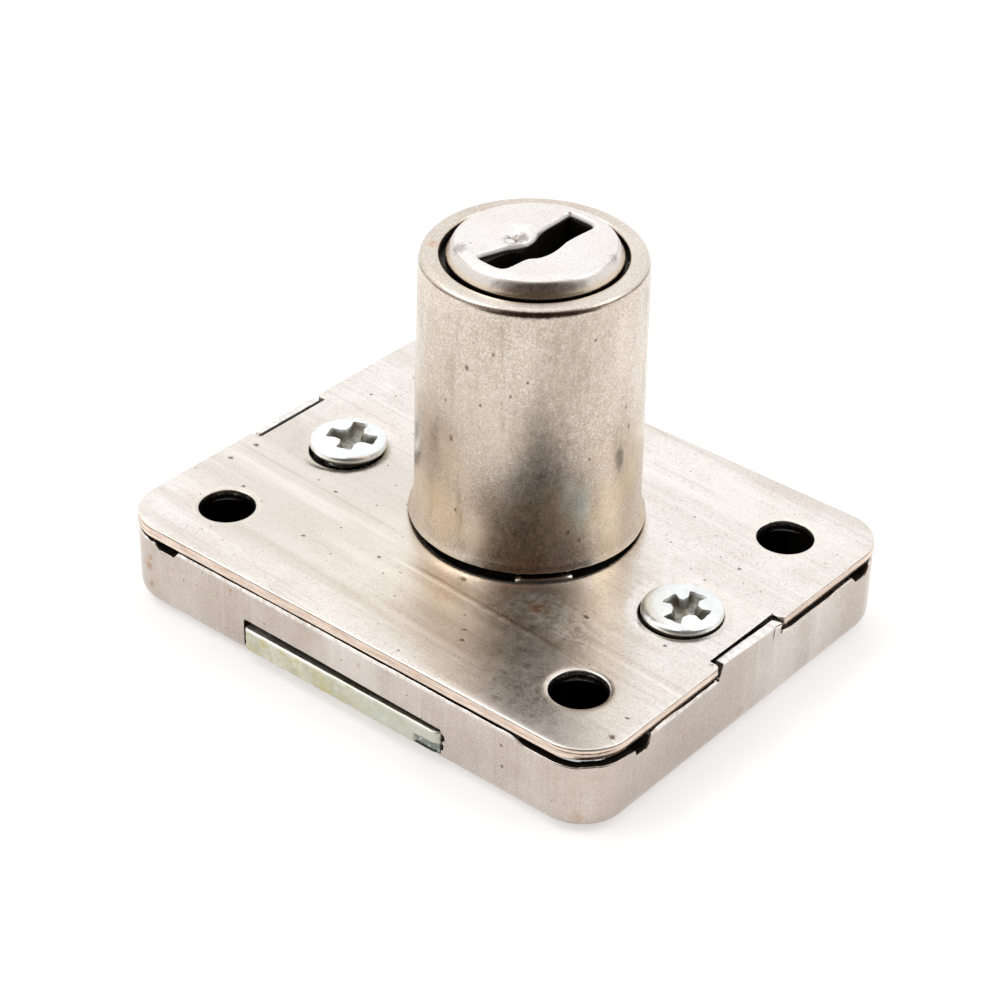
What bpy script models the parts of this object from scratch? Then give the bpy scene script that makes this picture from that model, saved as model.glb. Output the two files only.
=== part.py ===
"""Surface-mounted drawer deadbolt lock.

A pressed steel case with a mounting plate carries a die-cast cylinder housing.
A key turns the plug half a turn; an eccentric pin on the plug's inner end
pushes the flat bolt out through the long front wall.

Frame: origin in the middle of the case's underside, +X along the long side,
-Y the side where the bolt comes out, +Z towards the key face. Metres.
"""

import math

import bmesh
import bpy

MM = 0.001

# ---- driving dimensions, in millimetres -------------------------------------
CASE_L = 52.5  # along X
CASE_W = 41.8  # along Y
CORNER_R = 4.3
CASE_H = 7.0  # top of the case's wall
SHEET = 0.9  # case sheet thickness
CASE_FILLET = 1.5  # rounding round the underside
PLATE_Z0 = 7.3
PLATE_Z1 = 8.3  # top of the mounting plate
PLATE_HOLE_R = 10.7  # hole for the barrel
HOLE_X = 19.55  # mounting hole pattern, half spacings
HOLE_Y = 14.2
HOLE_R = 2.5
TAB_W = 8.0  # staked tab on each short wall
TAB_D = 0.8
NOTCH_W = 8.6
NOTCH_D = 1.1

AXIS_Y = 2.75  # the barrel's axis, ahead of the case's middle
SLEEVE_Z0 = 8.7
SLEEVE_Z1 = 33.45
LIP_R = 7.85  # opening of the sleeve's in-turned lip
CORE_R = 8.7  # die-cast core inside the sleeve
CORE_Z1 = 32.5
COLLAR_R = 9.5
BORE_R = 6.65
PLUG_R = 6.5
PLUG_Z0 = 3.6
CAP_R = 7.45
CAP_Z1 = 34.85

FLANGE_Z0 = 5.35  # underside of the die-cast flange
FLANGE_Z1 = 7.0
SCREW_X = 18.95
SCREW_HEAD_R = 3.5
SCREW_HOLE_R = 3.95  # dished hole in the plate
SCREW_R = 2.0

BOLT_HALF = 10.9
BOLT_Z0 = 1.15
BOLT_Z1 = 3.3
BOLT_PROUD = 0.4
BOLT_REAR = 13.5
CRANK = 4.0  # eccentricity of the crank pin; the throw is twice this
CRANK_R = 1.6
YOKE_CLEAR = 0.95  # clearance in the bolt's yoke slot, each side

WAFERS = 6
WAFER_Z = 13.0  # first wafer
WAFER_PITCH = 2.9
WAFER_T = 1.0
WAFER_R = 6.4
WAFER_HALF = 3.7
WAFER_TRAVEL = 0.6

SEG = 48


# ---- helpers -------------------------------------------------------------------
for old in list(bpy.data.objects):
    bpy.data.objects.remove(old, do_unlink=True)

PARTS = bpy.data.collections.new("drawer_lock")
CUTTERS = bpy.data.collections.new("cutters")
for c in (PARTS, CUTTERS):
    bpy.context.scene.collection.children.link(c)


def material(name, colour, rough, metallic):
    m = bpy.data.materials.new(name)
    m.use_nodes = True
    b = m.node_tree.nodes["Principled BSDF"]
    b.inputs["Base Color"].default_value = (*colour, 1.0)
    b.inputs["Roughness"].default_value = rough
    b.inputs["Metallic"].default_value = metallic
    m.diffuse_color = (*colour, 1.0)
    return m


NICKEL = material("nickel_plate", (0.70, 0.64, 0.58), 0.30, 1.0)
SLEEVE_M = material("nickel_sleeve", (0.68, 0.61, 0.53), 0.28, 1.0)
CAP_M = material("cap_nickel", (0.66, 0.60, 0.54), 0.32, 1.0)
CASE_M = material("case_steel", (0.68, 0.63, 0.58), 0.34, 1.0)
ZINC = material("die_cast_zinc", (0.42, 0.40, 0.38), 0.50, 1.0)
BRASS = material("wafer_brass", (0.72, 0.55, 0.25), 0.35, 1.0)
SPRING_M = material("spring_steel", (0.55, 0.55, 0.56), 0.30, 1.0)
SCREW_M = material("screw_zinc", (0.78, 0.80, 0.84), 0.25, 1.0)
BOLT_M = material("bolt_yellow_zinc", (0.72, 0.70, 0.50), 0.38, 1.0)


def empty(name, at):
    e = bpy.data.objects.new(name, None)
    e.empty_display_size = 0.005
    e.location = [v * MM for v in at]
    PARTS.objects.link(e)
    return e


def finish(ob, coll, mat, parent=None):
    """Put an object in its collection, give it its material and its parent."""
    for c in list(ob.users_collection):
        c.objects.unlink(ob)
    coll.objects.link(ob)
    if mat:
        ob.data.materials.clear()
        ob.data.materials.append(mat)
    if coll is CUTTERS:
        ob.hide_render = True
        ob.display_type = "WIRE"
    if parent:
        ob.parent = parent
        ob.location = ob.location - parent.location
    return ob


def from_bmesh(name, bm, at=(0, 0, 0)):
    me = bpy.data.meshes.new(name)
    bmesh.ops.recalc_face_normals(bm, faces=bm.faces)
    bm.to_mesh(me)
    bm.free()
    ob = bpy.data.objects.new(name, me)
    ob.location = [v * MM for v in at]
    return ob


def box(name, lo, hi):
    """A box between two corners, with its origin in its middle."""
    bm = bmesh.new()
    bmesh.ops.create_cube(bm, size=1.0)
    size = [(h - l) * MM for l, h in zip(lo, hi)]
    for v in bm.verts:
        v.co = [c * s for c, s in zip(v.co, size)]
    return from_bmesh(name, bm, [(l + h) / 2 for l, h in zip(lo, hi)])


def cylinder(name, r, z0, z1, x=0.0, y=0.0, segs=SEG, r_top=None):
    bm = bmesh.new()
    bmesh.ops.create_cone(
        bm,
        cap_ends=True,
        segments=segs,
        radius1=r * MM,
        radius2=(r if r_top is None else r_top) * MM,
        depth=(z1 - z0) * MM,
    )
    return from_bmesh(name, bm, (x, y, (z0 + z1) / 2))


def turned(name, profile, closed, at, segs=SEG):
    """A turned piece. profile holds (radius, z) and runs down the outer side."""
    me = bpy.data.meshes.new(name)
    pts = [(r * MM, 0.0, z * MM) for r, z in profile]
    edges = [(i, i + 1) for i in range(len(pts) - 1)]
    if closed:
        edges.append((len(pts) - 1, 0))
    me.from_pydata(pts, edges, [])
    ob = bpy.data.objects.new(name, me)
    ob.location = [v * MM for v in at]
    s = ob.modifiers.new("turn", "SCREW")
    s.axis = "Z"
    s.angle = 2 * math.pi
    s.steps = segs
    s.render_steps = segs
    s.use_merge_vertices = True
    s.merge_threshold = 0.00001
    s.use_smooth_shade = True
    return ob


def arc(cx, cy, r, a0, a1, n):
    """Points on an arc, angles in degrees."""
    return [
        (
            cx + r * math.cos(math.radians(a0 + (a1 - a0) * i / n)),
            cy + r * math.sin(math.radians(a0 + (a1 - a0) * i / n)),
        )
        for i in range(n + 1)
    ]


def rounded(x0, y0, x1, y1, r, n=6):
    return (
        arc(x1 - r, y0 + r, r, -90, 0, n)
        + arc(x1 - r, y1 - r, r, 0, 90, n)
        + arc(x0 + r, y1 - r, r, 90, 180, n)
        + arc(x0 + r, y0 + r, r, 180, 270, n)
    )


def circle(cx, cy, r, n=32):
    return arc(cx, cy, r, 0, 360 - 360 / n, n - 1)


def outline(name, loops, z0, z1, origin=(0.0, 0.0)):
    """A flat piece cut from sheet: the first loop is its edge, the rest are holes."""
    cu = bpy.data.curves.new(name, "CURVE")
    cu.dimensions = "2D"
    cu.fill_mode = "BOTH"
    cu.extrude = (z1 - z0) * MM / 2
    for loop in loops:
        sp = cu.splines.new("POLY")
        sp.points.add(len(loop) - 1)
        for p, (x, y) in zip(sp.points, loop):
            p.co = ((x - origin[0]) * MM, (y - origin[1]) * MM, 0.0, 1.0)
        sp.use_cyclic_u = True
    ob = bpy.data.objects.new(name, cu)
    ob.location = (origin[0] * MM, origin[1] * MM, (z0 + z1) / 2 * MM)
    return ob


def as_mesh(ob):
    """The same piece as a welded mesh, so that it can be cut."""
    bpy.context.scene.collection.objects.link(ob)
    bpy.context.view_layer.update()
    deps = bpy.context.evaluated_depsgraph_get()
    me = bpy.data.meshes.new_from_object(ob.evaluated_get(deps))
    me.name = ob.name
    bm = bmesh.new()
    bm.from_mesh(me)
    bmesh.ops.remove_doubles(bm, verts=bm.verts, dist=0.000001)
    bmesh.ops.recalc_face_normals(bm, faces=bm.faces)
    bm.to_mesh(me)
    bm.free()
    name = ob.name
    where = ob.matrix_world.copy()
    ob.name = name + "_curve"
    new = bpy.data.objects.new(name, me)
    new.matrix_world = where
    bpy.data.objects.remove(ob, do_unlink=True)
    return new


def boolean(ob, tool, operation="DIFFERENCE", parent=None):
    """Cut a tool from a piece, or join it on."""
    finish(tool, CUTTERS, None, parent)
    m = ob.modifiers.new(tool.name, "BOOLEAN")
    m.operation = operation
    m.solver = "EXACT"
    m.object = tool
    return ob


# ---- pressed steel case ------------------------------------------------------------
def make_case():
    bm = bmesh.new()
    bmesh.ops.create_cube(bm, size=1.0)
    for v in bm.verts:
        v.co.x *= CASE_L * MM
        v.co.y *= CASE_W * MM
        v.co.z = CASE_H * MM if v.co.z > 0 else 0.0
    top = [f for f in bm.faces if f.normal.z > 0.9]
    bmesh.ops.delete(bm, geom=top, context="FACES_ONLY")
    upright = [
        e for e in bm.edges if abs(e.verts[0].co.z - e.verts[1].co.z) > CASE_H * MM / 2
    ]
    bmesh.ops.bevel(
        bm, geom=upright, offset=CORNER_R * MM, segments=6, profile=0.5,
        affect="EDGES", clamp_overlap=False,
    )
    foot = [e for e in bm.edges if e.verts[0].co.z < 1e-7 and e.verts[1].co.z < 1e-7]
    bmesh.ops.bevel(
        bm, geom=foot, offset=CASE_FILLET * MM, segments=3, profile=0.5,
        affect="EDGES", clamp_overlap=False,
    )
    ob = from_bmesh("case_tray", bm)
    s = ob.modifiers.new("sheet", "SOLIDIFY")
    s.thickness = SHEET * MM
    s.offset = -1.0
    s.use_even_offset = True
    return ob


case = make_case()
for side, name in ((-1, "tab_left"), (1, "tab_right")):
    x0, x1 = sorted((side * (CASE_L / 2 - TAB_D - 0.05), side * (CASE_L / 2 - 0.05)))
    boolean(case, box(name, (x0, -TAB_W / 2, 5.0), (x1, TAB_W / 2, PLATE_Z1 - 0.1)), "UNION")
for side, name in ((-1, "burr_left"), (1, "burr_right")):
    # extruded collar that the assembly screw threads into
    boolean(case, cylinder(name, 3.1, 0.4, 3.1, side * SCREW_X, 0, 32), "UNION")
    boolean(case, cylinder(name + "_tap", 2.2, -1, 4, side * SCREW_X, 0, 32))
boolean(
    case,
    box("bolt_slot", (-BOLT_HALF - 0.35, -CASE_W / 2 - 2, SHEET + 0.02),
        (BOLT_HALF + 0.35, -CASE_W / 2 + 3, BOLT_Z1 + 0.45)),
)
for i, (sx, sy) in enumerate(((-1, -1), (1, -1), (1, 1), (-1, 1))):
    boolean(case, cylinder(f"case_hole_{i}", HOLE_R, -1, 3, sx * HOLE_X, sy * HOLE_Y, 32))
finish(case, PARTS, CASE_M)

# ---- mounting plate ---------------------------------------------------------------------
hx, hy = CASE_L / 2, CASE_W / 2
edge = (
    arc(hx - CORNER_R, -hy + CORNER_R, CORNER_R, -90, 0, 8)
    + [(hx, -NOTCH_W / 2), (hx - NOTCH_D, -NOTCH_W / 2), (hx - NOTCH_D, NOTCH_W / 2), (hx, NOTCH_W / 2)]
    + arc(hx - CORNER_R, hy - CORNER_R, CORNER_R, 0, 90, 8)
    + arc(-hx + CORNER_R, hy - CORNER_R, CORNER_R, 90, 180, 8)
    + [(-hx, NOTCH_W / 2), (-hx + NOTCH_D, NOTCH_W / 2), (-hx + NOTCH_D, -NOTCH_W / 2), (-hx, -NOTCH_W / 2)]
    + arc(-hx + CORNER_R, -hy + CORNER_R, CORNER_R, 180, 270, 8)
)
holes = [circle(sx * HOLE_X, sy * HOLE_Y, HOLE_R, 32) for sx in (-1, 1) for sy in (-1, 1)]
holes += [circle(sx * SCREW_X, 0, SCREW_HOLE_R, 32) for sx in (-1, 1)]
holes.append(circle(0, AXIS_Y, PLATE_HOLE_R, SEG))
finish(outline("cover_plate", [edge] + holes, PLATE_Z0, PLATE_Z1), PARTS, NICKEL)

# ---- plated sleeve over the barrel ------------------------------------------------------------
top = SLEEVE_Z1
sleeve_profile = (
    [(LIP_R, top), (8.85, top)]
    + [(8.85 + 0.65 * math.sin(a), top - 0.65 + 0.65 * math.cos(a))
       for a in (math.radians(30), math.radians(60), math.radians(90))]
    + [(9.62, 26.0), (9.75, 19.0), (9.8, 11.4), (9.88, 10.4), (10.0, 9.6), (10.2, SLEEVE_Z0)]
    + [(9.75, SLEEVE_Z0), (9.35, 9.9), (9.2, 11.4), (9.15, 19.0), (9.0, top - 1.2), (8.85, top - 0.65), (LIP_R, top - 0.65)]
)
finish(turned("barrel_sleeve", sleeve_profile, True, (0, AXIS_Y, 0)), PARTS, SLEEVE_M)

# ---- die-cast cylinder housing --------------------------------------------------------------------
housing = turned(
    "cylinder_housing",
    [(0, CORE_Z1), (CORE_R - 0.3, CORE_Z1), (CORE_R, CORE_Z1 - 0.3), (CORE_R, 9.0),
     (COLLAR_R - 0.25, 8.55), (COLLAR_R, 8.3), (COLLAR_R, 6.0), (0, 6.0)],
    False,
    (0, AXIS_Y, 0),
)
flange_pts = (
    rounded(-13.3, -15.0, 13.3, 16.5, 2.0, 4)
)
boolean(housing, as_mesh(outline("flange", [flange_pts], FLANGE_Z0, FLANGE_Z1)), "UNION")
ears = arc(SCREW_X, 0, 4.0, -90, 90, 12) + arc(-SCREW_X, 0, 4.0, 90, 270, 12)
boolean(housing, as_mesh(outline("ears", [ears], FLANGE_Z0 + 0.1, FLANGE_Z1 - 0.04)), "UNION")
for side, tag in ((-1, "left"), (1, "right")):
    boolean(housing, cylinder(f"ear_boss_{tag}", 3.8, 3.4, FLANGE_Z1 - 0.5, side * SCREW_X, 0, 32), "UNION")
    x0, x1 = sorted((side * (BOLT_HALF + 0.35), side * 13.0))
    boolean(housing, box(f"rail_{tag}", (x0, -14.0, SHEET + 0.3), (x1, 14.0, FLANGE_Z0 + 0.4)), "UNION")
    boolean(housing, cylinder(f"ear_hole_{tag}", 2.3, 2, 9, side * SCREW_X, 0, 32))
for tag, y0, y1 in (("front", -14.2, -11.5), ("rear", 12.6, 14.4)):
    boolean(housing, box(f"pad_{tag}", (-9.0, y0, BOLT_Z1 + 0.3), (9.0, y1, FLANGE_Z0 + 0.5)), "UNION")
boolean(housing, cylinder("plug_bore", BORE_R, 2, 40, 0, AXIS_Y))
for tag, s in (("front", -1), ("rear", 1)):
    y0, y1 = sorted((AXIS_Y + s * 5.0, AXIS_Y + s * 7.3))
    boolean(housing, box(f"groove_{tag}", (-4.0, y0, WAFER_Z - 1.6), (4.0, y1, 40.0)))
finish(housing, PARTS, ZINC)

# ---- assembly screws -------------------------------------------------------------------------------
def make_screw(name, side):
    z = PLATE_Z1 + 0.4
    ob = turned(
        name,
        [(0, z), (2.4, z), (3.1, z - 0.12), (SCREW_HEAD_R, z - 0.45), (SCREW_HEAD_R, 7.4),
         (SCREW_HEAD_R - 0.1, 7.3), (SCREW_R, 7.3), (SCREW_R, 0.8), (1.6, 0.4), (0, 0.4)],
        False, (side * SCREW_X, 0, 0), 32,
    )
    turn = math.radians(28 if side < 0 else 12)
    for k in (0, 1):
        t = box(f"{name}_recess_{k}", (-2.2, -0.45, z - 0.9), (2.2, 0.45, z + 1.0))
        t.location = (side * SCREW_X * MM, 0, (z + 0.05) * MM)
        t.rotation_euler = (0, 0, turn + k * math.pi / 2)
        boolean(ob, t)
    finish(ob, PARTS, SCREW_M)


make_screw("screw_left", -1)
make_screw("screw_right", 1)

# ---- bolt -----------------------------------------------------------------------------------------------
bolt_front = -CASE_W / 2 - BOLT_PROUD
bolt_joint = empty("bolt_slide_axis", (0, bolt_front, (BOLT_Z0 + BOLT_Z1) / 2))
yoke_y = AXIS_Y + CRANK
yoke_r = CRANK_R + YOKE_CLEAR
yoke_x = CRANK + CRANK_R + 0.4 - yoke_r
yoke = arc(yoke_x, yoke_y, yoke_r, -90, 90, 8) + arc(-yoke_x, yoke_y, yoke_r, 90, 270, 8)
bolt = as_mesh(
    outline("bolt", [rounded(-BOLT_HALF, bolt_front, BOLT_HALF, BOLT_REAR, 0.8, 3), yoke],
            BOLT_Z0, BOLT_Z1, (0, bolt_front))
)
bevel = bolt.modifiers.new("edge", "BEVEL")
bevel.width = 0.15 * MM
bevel.segments = 1
bevel.limit_method = "ANGLE"
finish(bolt, PARTS, BOLT_M, bolt_joint)

# ---- plug, cap and clip, which turn together ----------------------------------------------------------------
plug_joint = empty("plug_turn_axis", (0, AXIS_Y, PLUG_Z0))


def wafer_z(i):
    return WAFER_Z + WAFER_PITCH * i


def way(i):
    """The side that wafer i springs out to."""
    return 1 if i % 2 == 0 else -1


def keyway(grow=0.0):
    """Waisted keyway, in the plug's own axes."""
    g = grow
    pts = [
        (-1.0 - g, -5.75 - g), (1.25 + g, -5.6 - g), (1.5 + g, -4.8), (1.6 + g, -2.6), (2.25 + g, -1.9),
        (2.55 + g, -0.9), (2.5 + g, 0.2), (2.15 + g, 1.5), (2.15 + g, 3.2), (2.2 + g, 5.3 + g),
        (-0.65 - g, 5.5 + g), (-0.6 - g, 4.1), (-0.7 - g, 2.4), (-0.4 - g, 1.2), (0.0 - g, 0.0),
        (0.05 - g, -1.6), (-0.55 - g, -2.3), (-0.85 - g, -3.5),
    ]
    return [(x, AXIS_Y + y) for x, y in pts]


plug = turned(
    "plug",
    [(0, 34.25), (6.75, 34.25), (6.85, 34.1), (6.85, 32.8), (PLUG_R, 32.8), (PLUG_R, 5.2), (5.4, 5.2),
     (5.4, 4.3), (PLUG_R, 4.3), (PLUG_R, PLUG_Z0), (0, PLUG_Z0)],
    False, (0, AXIS_Y, 0),
)
boolean(plug, cylinder("crank_pin", CRANK_R, 1.3, 4.2, 0, AXIS_Y + CRANK, 32), "UNION")
boolean(plug, as_mesh(outline("plug_keyway", [keyway()], 11.0, 40.0)))
for i in range(WAFERS):
    z = wafer_z(i)
    boolean(plug, box(f"slot_{i + 1}", (-WAFER_HALF - 0.15, AXIS_Y - 8, z - 0.65), (WAFER_HALF + 0.15, AXIS_Y + 8, z + 0.65)))
    boolean(plug, box(f"pocket_{i + 1}", (-5.4, AXIS_Y - 2.75, z - 0.85), (-3.0, AXIS_Y + 2.75, z + 0.85)))
finish(plug, PARTS, ZINC, plug_joint)

cap_profile = [
    (0, CAP_Z1), (6.6, CAP_Z1), (6.95, CAP_Z1 - 0.08), (7.25, CAP_Z1 - 0.3), (7.4, CAP_Z1 - 0.62),
    (CAP_R, CAP_Z1 - 1.0), (CAP_R, 32.85), (7.05, 32.85), (7.05, 34.4), (0, 34.4),
]
cap = turned("plug_cap", cap_profile, False, (0, AXIS_Y, 0))
boolean(cap, as_mesh(outline("cap_keyway", [keyway()], 33.6, 40.0)))
finish(cap, PARTS, CAP_M, plug_joint)

clip_pts = arc(0, AXIS_Y, 8.0, -60, 240, 30) + arc(0, AXIS_Y, 5.55, 240, -60, 30)
finish(outline("plug_clip", [clip_pts], 4.45, 5.05, (0, AXIS_Y)), PARTS, SPRING_M, plug_joint)

# ---- wafers and their springs -----------------------------------------------------------------------------------
for i in range(WAFERS):
    z, s = wafer_z(i), way(i)
    end = math.degrees(math.acos(WAFER_HALF / WAFER_R))
    loop = arc(0, 0, WAFER_R, end, 180 - end, 10)
    # the hook that the spring pushes on, on the -X side
    hook = [(-WAFER_HALF, 1.8), (-5.1, 1.8), (-5.1, 1.1), (-WAFER_HALF, 1.1)]
    loop = loop + hook + arc(0, 0, WAFER_R, 180 + end, 360 - end, 10)
    window = rounded(-1.35, -4.3 + 0.25 * (i % 3), 2.85, 4.3 - 0.25 * ((i + 1) % 3), 0.4, 2)
    if s < 0:
        loop = [(x, -y) for x, y in reversed(loop)]
        window = [(x, -y) for x, y in reversed(window)]
    joint = empty(f"wafer_{i + 1}_axis", (0, AXIS_Y, z))
    joint.parent = plug_joint
    joint.location = joint.location - plug_joint.location
    w = outline(
        f"wafer_{i + 1}",
        [[(x, y + AXIS_Y) for x, y in loop], [(x, y + AXIS_Y) for x, y in window]],
        z - WAFER_T / 2, z + WAFER_T / 2, (0, AXIS_Y),
    )
    finish(w, PARTS, BRASS)
    w.parent = joint
    w.location = (0, 0, 0)

    # coil spring between the pocket's end and the hook
    turns, per, r, wire = 4.0, 8, 0.5, 0.13
    y0, y1 = -2.45, 0.85
    cu = bpy.data.curves.new(f"wafer_spring_{i + 1}", "CURVE")
    cu.dimensions = "3D"
    cu.bevel_depth = wire * MM
    cu.bevel_resolution = 1
    cu.use_fill_caps = True
    sp = cu.splines.new("POLY")
    n = int(turns * per)
    sp.points.add(n)
    for k, p in enumerate(sp.points):
        a = 2 * math.pi * k / per
        y = (y0 + (y1 - y0) * k / n) * s
        p.co = (r * math.cos(a) * MM, y * MM, r * math.sin(a) * MM, 1.0)
    spring = bpy.data.objects.new(f"wafer_spring_{i + 1}", cu)
    spring.location = (-4.45 * MM, AXIS_Y * MM, z * MM)
    finish(spring, PARTS, SPRING_M, plug_joint)

# round pieces shade smooth, flats stay crisp
for ob in PARTS.objects:
    if ob.type == "MESH" and len(ob.data.polygons):
        ob.data.shade_smooth()
        ob.data.set_sharp_from_angle(angle=math.radians(30))
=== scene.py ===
"""Looks for a surface-mounted drawer deadbolt lock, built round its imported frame."""

import math

import bmesh
import bpy
import numpy as np
from mathutils import Matrix, Vector, noise
from mathutils.geometry import delaunay_2d_cdt


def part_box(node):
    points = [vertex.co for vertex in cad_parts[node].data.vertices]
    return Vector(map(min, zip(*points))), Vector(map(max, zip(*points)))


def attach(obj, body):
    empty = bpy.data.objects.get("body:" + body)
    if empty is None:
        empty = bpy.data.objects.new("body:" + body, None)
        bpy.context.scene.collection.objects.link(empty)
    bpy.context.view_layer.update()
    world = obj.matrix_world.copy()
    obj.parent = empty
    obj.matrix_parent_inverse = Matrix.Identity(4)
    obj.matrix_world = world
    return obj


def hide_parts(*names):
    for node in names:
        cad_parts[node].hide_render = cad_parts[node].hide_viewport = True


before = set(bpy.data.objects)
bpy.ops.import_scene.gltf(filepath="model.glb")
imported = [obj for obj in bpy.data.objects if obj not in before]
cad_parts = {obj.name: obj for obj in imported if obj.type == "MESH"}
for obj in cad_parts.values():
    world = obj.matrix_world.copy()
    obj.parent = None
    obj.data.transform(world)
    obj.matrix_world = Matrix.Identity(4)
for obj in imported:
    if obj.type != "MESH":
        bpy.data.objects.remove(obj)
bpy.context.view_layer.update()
MM = 0.001
RNG = np.random.default_rng(7)
scene = bpy.context.scene

# ---- where the CAD puts things, in millimetres ------------------------------------
def box_mm(node):
    lo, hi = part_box(node)
    return [c / MM for c in lo], [c / MM for c in hi]

P_LO, P_HI = box_mm("cover_plate")
T_LO, T_HI = box_mm("case_tray")
S_LO, S_HI = box_mm("barrel_sleeve")
C_LO, C_HI = box_mm("plug_cap")
B_LO, B_HI = box_mm("bolt")
SL_LO, SL_HI = box_mm("screw_left")
SR_LO, SR_HI = box_mm("screw_right")
AX = (S_LO[0] + S_HI[0]) / 2
AY = (S_LO[1] + S_HI[1]) / 2
TOP = P_HI[2]  # top of the plate
HX, HY = P_HI[0], P_HI[1]
HOLE_X, HOLE_Y, HOLE_R = 19.55, 14.2, 2.48


# ---- mesh helpers -----------------------------------------------------------------------
def make_object(name, verts, faces, smooth=True, angle=35):
    """verts in millimetres."""
    me = bpy.data.meshes.new(name)
    v = np.asarray(verts, float) * MM
    me.from_pydata([tuple(p) for p in v], [], [tuple(int(i) for i in f) for f in faces])
    me.validate()
    ob = bpy.data.objects.new(name, me)
    scene.collection.objects.link(ob)
    tidy(ob, smooth, angle)
    return ob


def tidy(ob, smooth=True, angle=35):
    bm = bmesh.new()
    bm.from_mesh(ob.data)
    bmesh.ops.remove_doubles(bm, verts=bm.verts, dist=2e-7)
    bmesh.ops.recalc_face_normals(bm, faces=bm.faces)
    bm.to_mesh(ob.data)
    bm.free()
    if smooth:
        ob.data.shade_smooth()
        ob.data.set_sharp_from_angle(angle=math.radians(angle))


def cut(ob, tools, operation="DIFFERENCE", angle=35):
    """Booleans, applied, and the tools removed."""
    for t in tools:
        m = ob.modifiers.new(t.name, "BOOLEAN")
        m.operation = operation
        m.solver = "EXACT"
        m.object = t
    bpy.context.view_layer.update()
    deps = bpy.context.evaluated_depsgraph_get()
    me = bpy.data.meshes.new_from_object(ob.evaluated_get(deps))
    ob.modifiers.clear()
    old = ob.data
    ob.data = me
    me.name = ob.name
    bpy.data.meshes.remove(old)
    for t in tools:
        bpy.data.objects.remove(t, do_unlink=True)
    ob.data.shade_smooth()
    ob.data.set_sharp_from_angle(angle=math.radians(angle))
    return ob


def arc(cx, cy, r, a0, a1, n):
    t = np.radians(np.linspace(a0, a1, n + 1))
    return np.c_[cx + r * np.cos(t), cy + r * np.sin(t)]


def circle(cx, cy, r, n):
    t = np.arange(n) / n * 2 * np.pi
    return np.c_[cx + r * np.cos(t), cy + r * np.sin(t)]


def respace(loop, step):
    """A closed loop with a point at least every step, its own corners kept."""
    out = []
    for a, b in zip(loop, np.roll(loop, -1, 0)):
        n = max(1, int(math.ceil(np.hypot(*(b - a)) / step)))
        for k in range(n):
            out.append(a + (b - a) * k / n)
    return np.array(out)


def loop_area(loop):
    x, y = loop[:, 0], loop[:, 1]
    return 0.5 * float(np.sum(x * np.roll(y, -1) - np.roll(x, -1) * y))


def loop_normals(loop):
    """Unit normals that point to the right of the way along the loop: out of a counter-clockwise one."""
    d = np.roll(loop, -1, 0) - np.roll(loop, 1, 0)
    n = np.c_[d[:, 1], -d[:, 0]]
    return n / np.maximum(np.hypot(n[:, 0], n[:, 1])[:, None], 1e-9)


def inside(points, loop):
    """Which points lie in a closed loop."""
    x, y = points[:, 0], points[:, 1]
    hit = np.zeros(len(points), bool)
    for (x0, y0), (x1, y1) in zip(loop, np.roll(loop, -1, 0)):
        if y0 == y1:
            continue
        c = ((y0 > y) != (y1 > y)) & (x < (x1 - x0) * (y - y0) / (y1 - y0) + x0)
        hit ^= c
    return hit


def distance(points, loop):
    """How far each point is from a closed loop's line."""
    best = np.full(len(points), 1e9)
    for a, b in zip(loop, np.roll(loop, -1, 0)):
        d = b - a
        t = np.clip(((points - a) @ d) / max(float(d @ d), 1e-12), 0, 1)
        q = a + t[:, None] * d
        best = np.minimum(best, np.hypot(*(points - q).T))
    return best


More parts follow.
